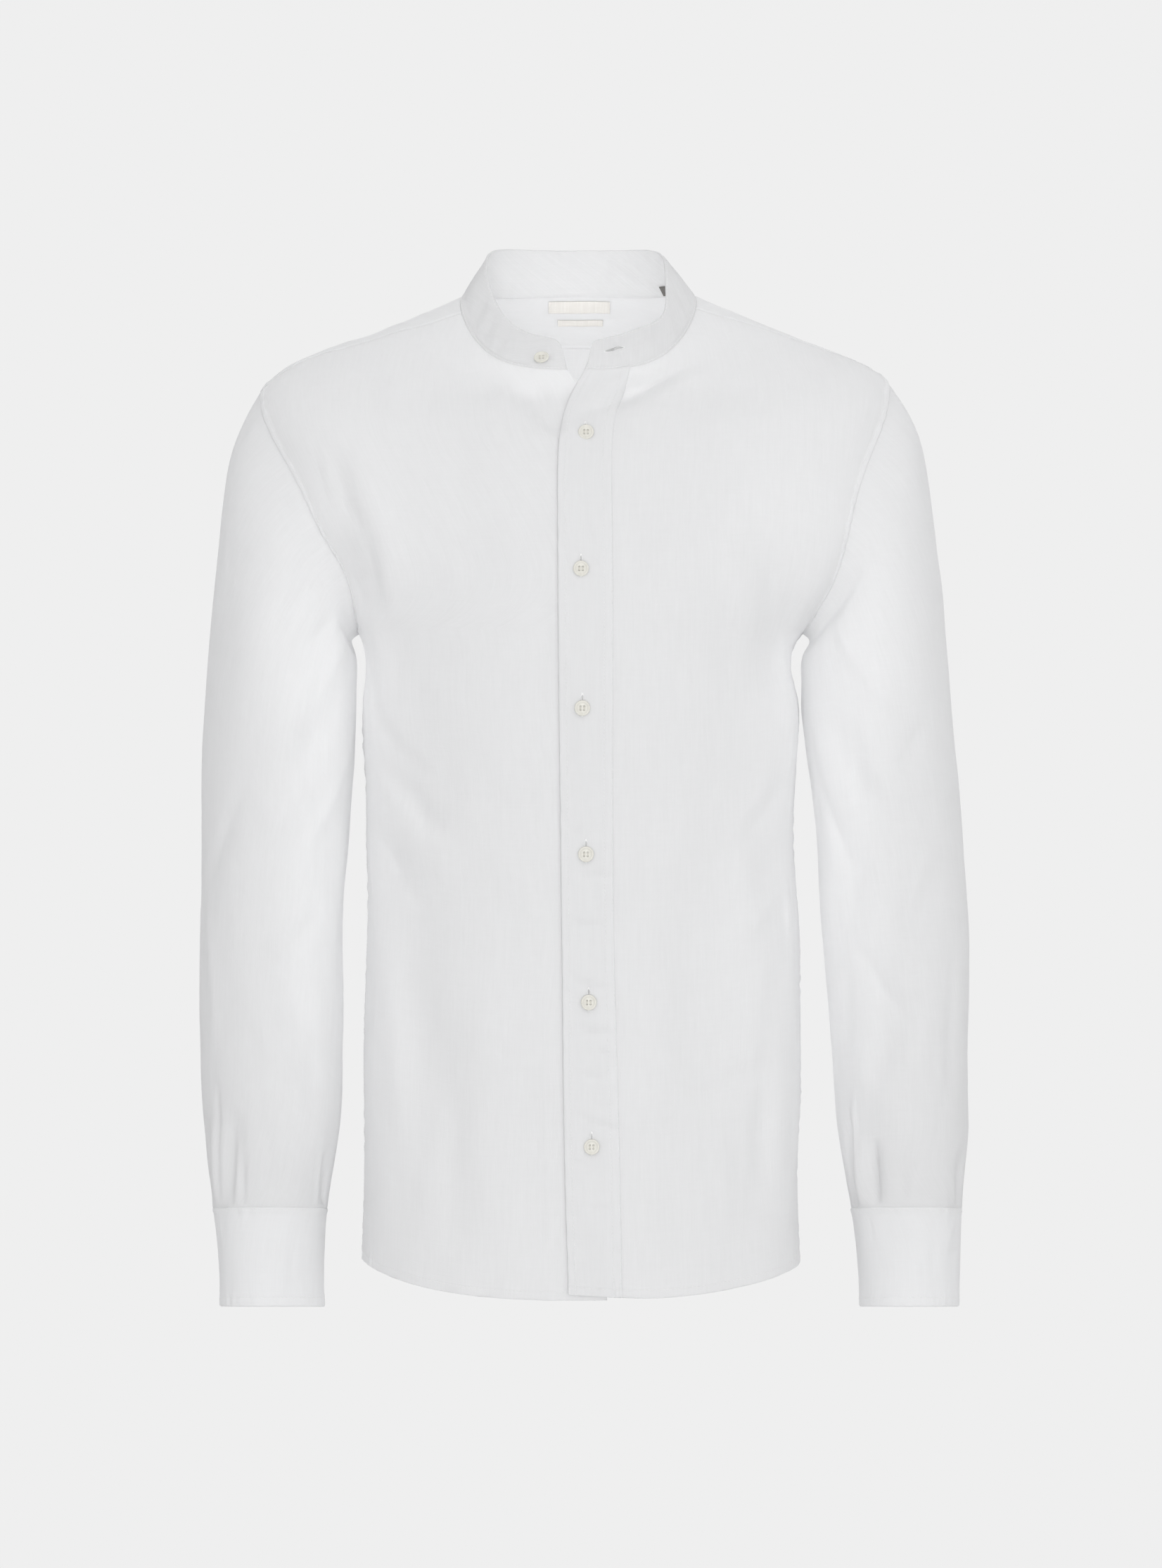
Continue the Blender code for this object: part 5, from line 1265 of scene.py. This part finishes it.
def build():
    """All the pieces. Normals are shared along the seams before each piece gets its own relief."""
    grids = torso_grids()
    grids["collar_band"] = collar_points(neck_angles())
    rises = {}
    for side, word in SIDES:
        # rows run up or down the arm so that the faces look outwards on both sides
        order = slice(None, None, -side)
        grids["sleeve_" + word] = sleeve_points(side, sleeve_rows())[order]
        cuff, rises[word] = cuff_points(side)
        grids["cuff_" + word] = cuff[order]
    tubes = ("sleeve_left", "sleeve_right")
    normals = shared_normals(grids, tubes)
    for word, rise in rises.items():
        name = "cuff_" + word
        grids[name] = grids[name] + normals[name] * rise[None, :, None] * (DOUBLE + LAYER_GAP)
    outer = {}
    for number, (name, points) in enumerate(grids.items()):
        thick = DOUBLE if name.startswith(("collar", "cuff")) else THIN
        # The collar band takes the darker linen of painted shade
        finish = {"collar": BAND_LINEN_PAINTED_SHADE, "cuff": LAYERED}.get(name.partition("_")[0], LINEN)
        edges, seed = EDGES.get(name) or EDGES[without_side(name)], SEED_STEP * number
        outer[name] = dress(name, points, normals[name], edges, seed, thick, finish, name in tubes)

    strip = slice(0, PLACKET_COLUMNS + 1)
    under, out = outer["front_left"][:, strip], normals["front_left"][:, strip]
    over = under + out * (LAYER_GAP + STRIP)
    placket = dress("front_placket", over, out, EDGES["front_placket"], PLACKET_SEED, STRIP, LAYERED)
    for side, word in SIDES:
        dress_slit(side, word, outer, normals)
    dress_buttons(placket, out, outer, normals)
    dress_labels()


def dress_slit(side, word, outer, normals):
    """The strip over the sleeve's slit, at the back above the cuff."""
    turns = armhole_points(side)[1]
    first, last = np.searchsorted(turns, (CUFF_START, CUFF_START + CUFF_LAP))
    rows = sleeve_rows()
    long = np.searchsorted(rows, rows[-1] - SLIT_LENGTH)
    rows = slice(None, len(rows) - long) if side == LEFT else slice(long, None)
    sleeve, out = (grids["sleeve_" + word][rows, first : last + 1] for grids in (outer, normals))
    over = sleeve + out * (LAYER_GAP + STRIP)
    dress("sleeve_placket_" + word, over, out, EDGES["sleeve_placket"], SLIT_SEED, STRIP, LAYERED)


def dress_buttons(placket, placket_out, outer, normals):
    """The placket's buttons and holes, the collar's button and its open hole, and the cuffs' buttons."""
    mesh = button_mesh(CREAM, THREAD)
    satin, slits = [], []
    for number, (x, z) in enumerate(BUTTON_PLACES, start=1):
        angle = angle_at_x(torso_at(z), x)
        normal = outward(torso_skin, angle, z)
        place = torso(angle, z)
        seat = settled(place[None], placket, placket_out, 0.0)[0][0]
        place_button(f"button_{number}", mesh, seat + normal * BUTTON_OFF, unit(normal + FORWARD))
        thread, slit = buttonhole(seat + UP * HOLE_UP, UP, ACROSS, HOLE_LONG, SLIT_OPEN, placket, placket_out)
        satin.append(thread)
        slits.append(slit)
    band, band_out = outer["collar_band"], normals["collar_band"]
    right_end, left_end = slice(-BAND_END, None), slice(0, BAND_END)
    seat, normal, _ = band_place(band, band_out, COLLAR_BUTTON_SHARE, COLLAR_BUTTON_X, right_end)
    place_button("collar_button", mesh, seat + normal * BUTTON_OFF, normal)
    seat, normal, level = band_place(band, band_out, BAND_HOLE_SHARE, BAND_HOLE_X, left_end)
    level = np.cross(normal, np.cross(level, normal))
    upwards = unit(np.cross(normal, level))
    thread, slit = buttonhole(seat, unit(level), upwards, BAND_HOLE_LONG, BAND_HOLE_OPEN, band, band_out)
    shown(thread_object("buttonhole_stitches", satin + [thread], THREAD), "linen")
    shown(thread_object("buttonhole_slits", slits + [slit], SLIT), "linen")
    for _, word in SIDES:
        low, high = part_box("cuff_button_" + word)
        middle = np.array((low + high) / 2)
        seat, normal = settled(middle[None], outer["cuff_" + word], normals["cuff_" + word], 0.0)
        place_button("cuff_button_" + word, mesh, seat[0] + normal[0] * BUTTON_OFF, normal[0])


def band_place(points, normals, share, x, columns):
    """Point, normal and the row's direction where some of the band's columns pass this share and x."""
    row = round(share * (len(points) - 1))
    line, out = points[row, columns], normals[row, columns]
    column = int(np.argmin(np.abs(line[:, 0] - x)))
    before, beyond = line[column - BAND_STEP], line[(column + BAND_STEP) % len(line)]
    return line[column], out[column], unit(beyond - before)


def dress_labels():
    """Blank tapes inside the back of the yoke, and a small tag on the neck seam, near-black both as its own
    dark tape and as painted shadow of the gap there.
    """
    for name, x, wide, levels in LABELS:
        across = np.linspace(x - wide / 2, x + wide / 2, LABEL_COLUMNS)
        across, level = np.meshgrid(across, np.linspace(*levels, LABEL_ROWS))
        angle = math.pi - angle_at_x(torso_at(level), across)
        normal = outward(torso_skin, angle, level)
        near = torso(angle, level) - normal * LABEL_OFF
        facing = -normal[:, ::-1]
        points = near[:, ::-1] + facing * TAPE_THICK
        border = relief(points, EDGES["label"], False, LABEL_SEED)[0]
        points = points + facing * border[..., None]
        piece = shown(shell(name + "_tape", points, facing, TAPE_THICK, TAPE), "label", name)
    angles = math.pi - angle_at_x(torso_at(NECK_LEVEL), np.array(TAG_SIDES)[::-1])
    angles, shares = np.linspace(angles[1], angles[0], TAG_ROWS), np.linspace(*TAG_SHARES, TAG_ROWS)
    angle, share = np.meshgrid(angles, shares)
    normal = outward(lambda here, up: band(here, here, up), angle, share)
    points = band(angle, angle, share) - normal * (DOUBLE + LABEL_OFF)
    # The tag's near-black colour is its own dark tape and also painted shadow of the gap beside the band
    tag = shell("size_label_tape", points[:, ::-1], -normal[:, ::-1], TAPE_THICK, TAG_TAPE_AND_SHADOW)
    shown(tag, "label", "size_label")


# ---- floor, light and camera


def area_light(name, place, aim, size, watts):
    light = bpy.data.lights.new(name, "AREA")
    light.shape, light.size, light.size_y, light.energy = "ELLIPSE", *size, watts
    thing = in_scene(name, light)
    thing.visible_camera = False
    place, aim = Vector(place), Vector(aim)
    turned = (aim - place).to_track_quat("-Z", "Y").to_matrix().to_4x4()
    thing.matrix_world = Matrix.Translation(place) @ turned


def studio():
    """A pale floor and an even pale surround, a large soft light in front and a camera facing the shirt."""
    turns = np.arange(FLOOR_SIDES) * TURN / FLOOR_SIDES
    rim = [(FLOOR_RADIUS * math.cos(turn), FLOOR_RADIUS * math.sin(turn), FLOOR_LEVEL) for turn in turns]
    mesh_object("floor", rim, [tuple(range(FLOOR_SIDES))], PALE_FLOOR)
    world = bpy.data.worlds.new("studio")
    world.use_nodes = True
    tree = world.node_tree
    seen = tree.nodes["Background"]
    seen.inputs["Color"].default_value = (*SURROUND, 1)
    direction = node(tree, "ShaderNodeTexCoord", {}).outputs["Generated"]
    side = node(tree, "ShaderNodeSeparateXYZ", {0: direction}).outputs["X"]
    slope = multiply_add(tree, side, -AMBIENT * SIDES_DIMMED, AMBIENT * LEFT_MORE)
    strength = multiply_add(tree, slope, side, AMBIENT)
    around = node(tree, "ShaderNodeBackground", {"Color": (*SURROUND, 1), "Strength": strength})
    ray = node(tree, "ShaderNodeLightPath", {}).outputs["Is Camera Ray"]
    mixed = node(tree, "ShaderNodeMixShader", {0: ray, 1: around.outputs[0], 2: seen.outputs[0]})
    tree.links.new(mixed.outputs[0], tree.nodes["World Output"].inputs["Surface"])
    scene = bpy.context.scene
    scene.world = world
    scene.view_settings.view_transform = "Standard"
    for name, place, aim, size, watts in LIGHTS:
        area_light(name, place, aim, size, watts)
    camera = bpy.data.cameras.new("camera")
    camera.lens, camera.sensor_width = CAMERA_LENS, CAMERA_SENSOR
    view = in_scene("camera", camera)
    view.location, view.rotation_euler = CAMERA_PLACE, (math.pi / 2, 0, 0)
    scene.camera = view


build()
studio()
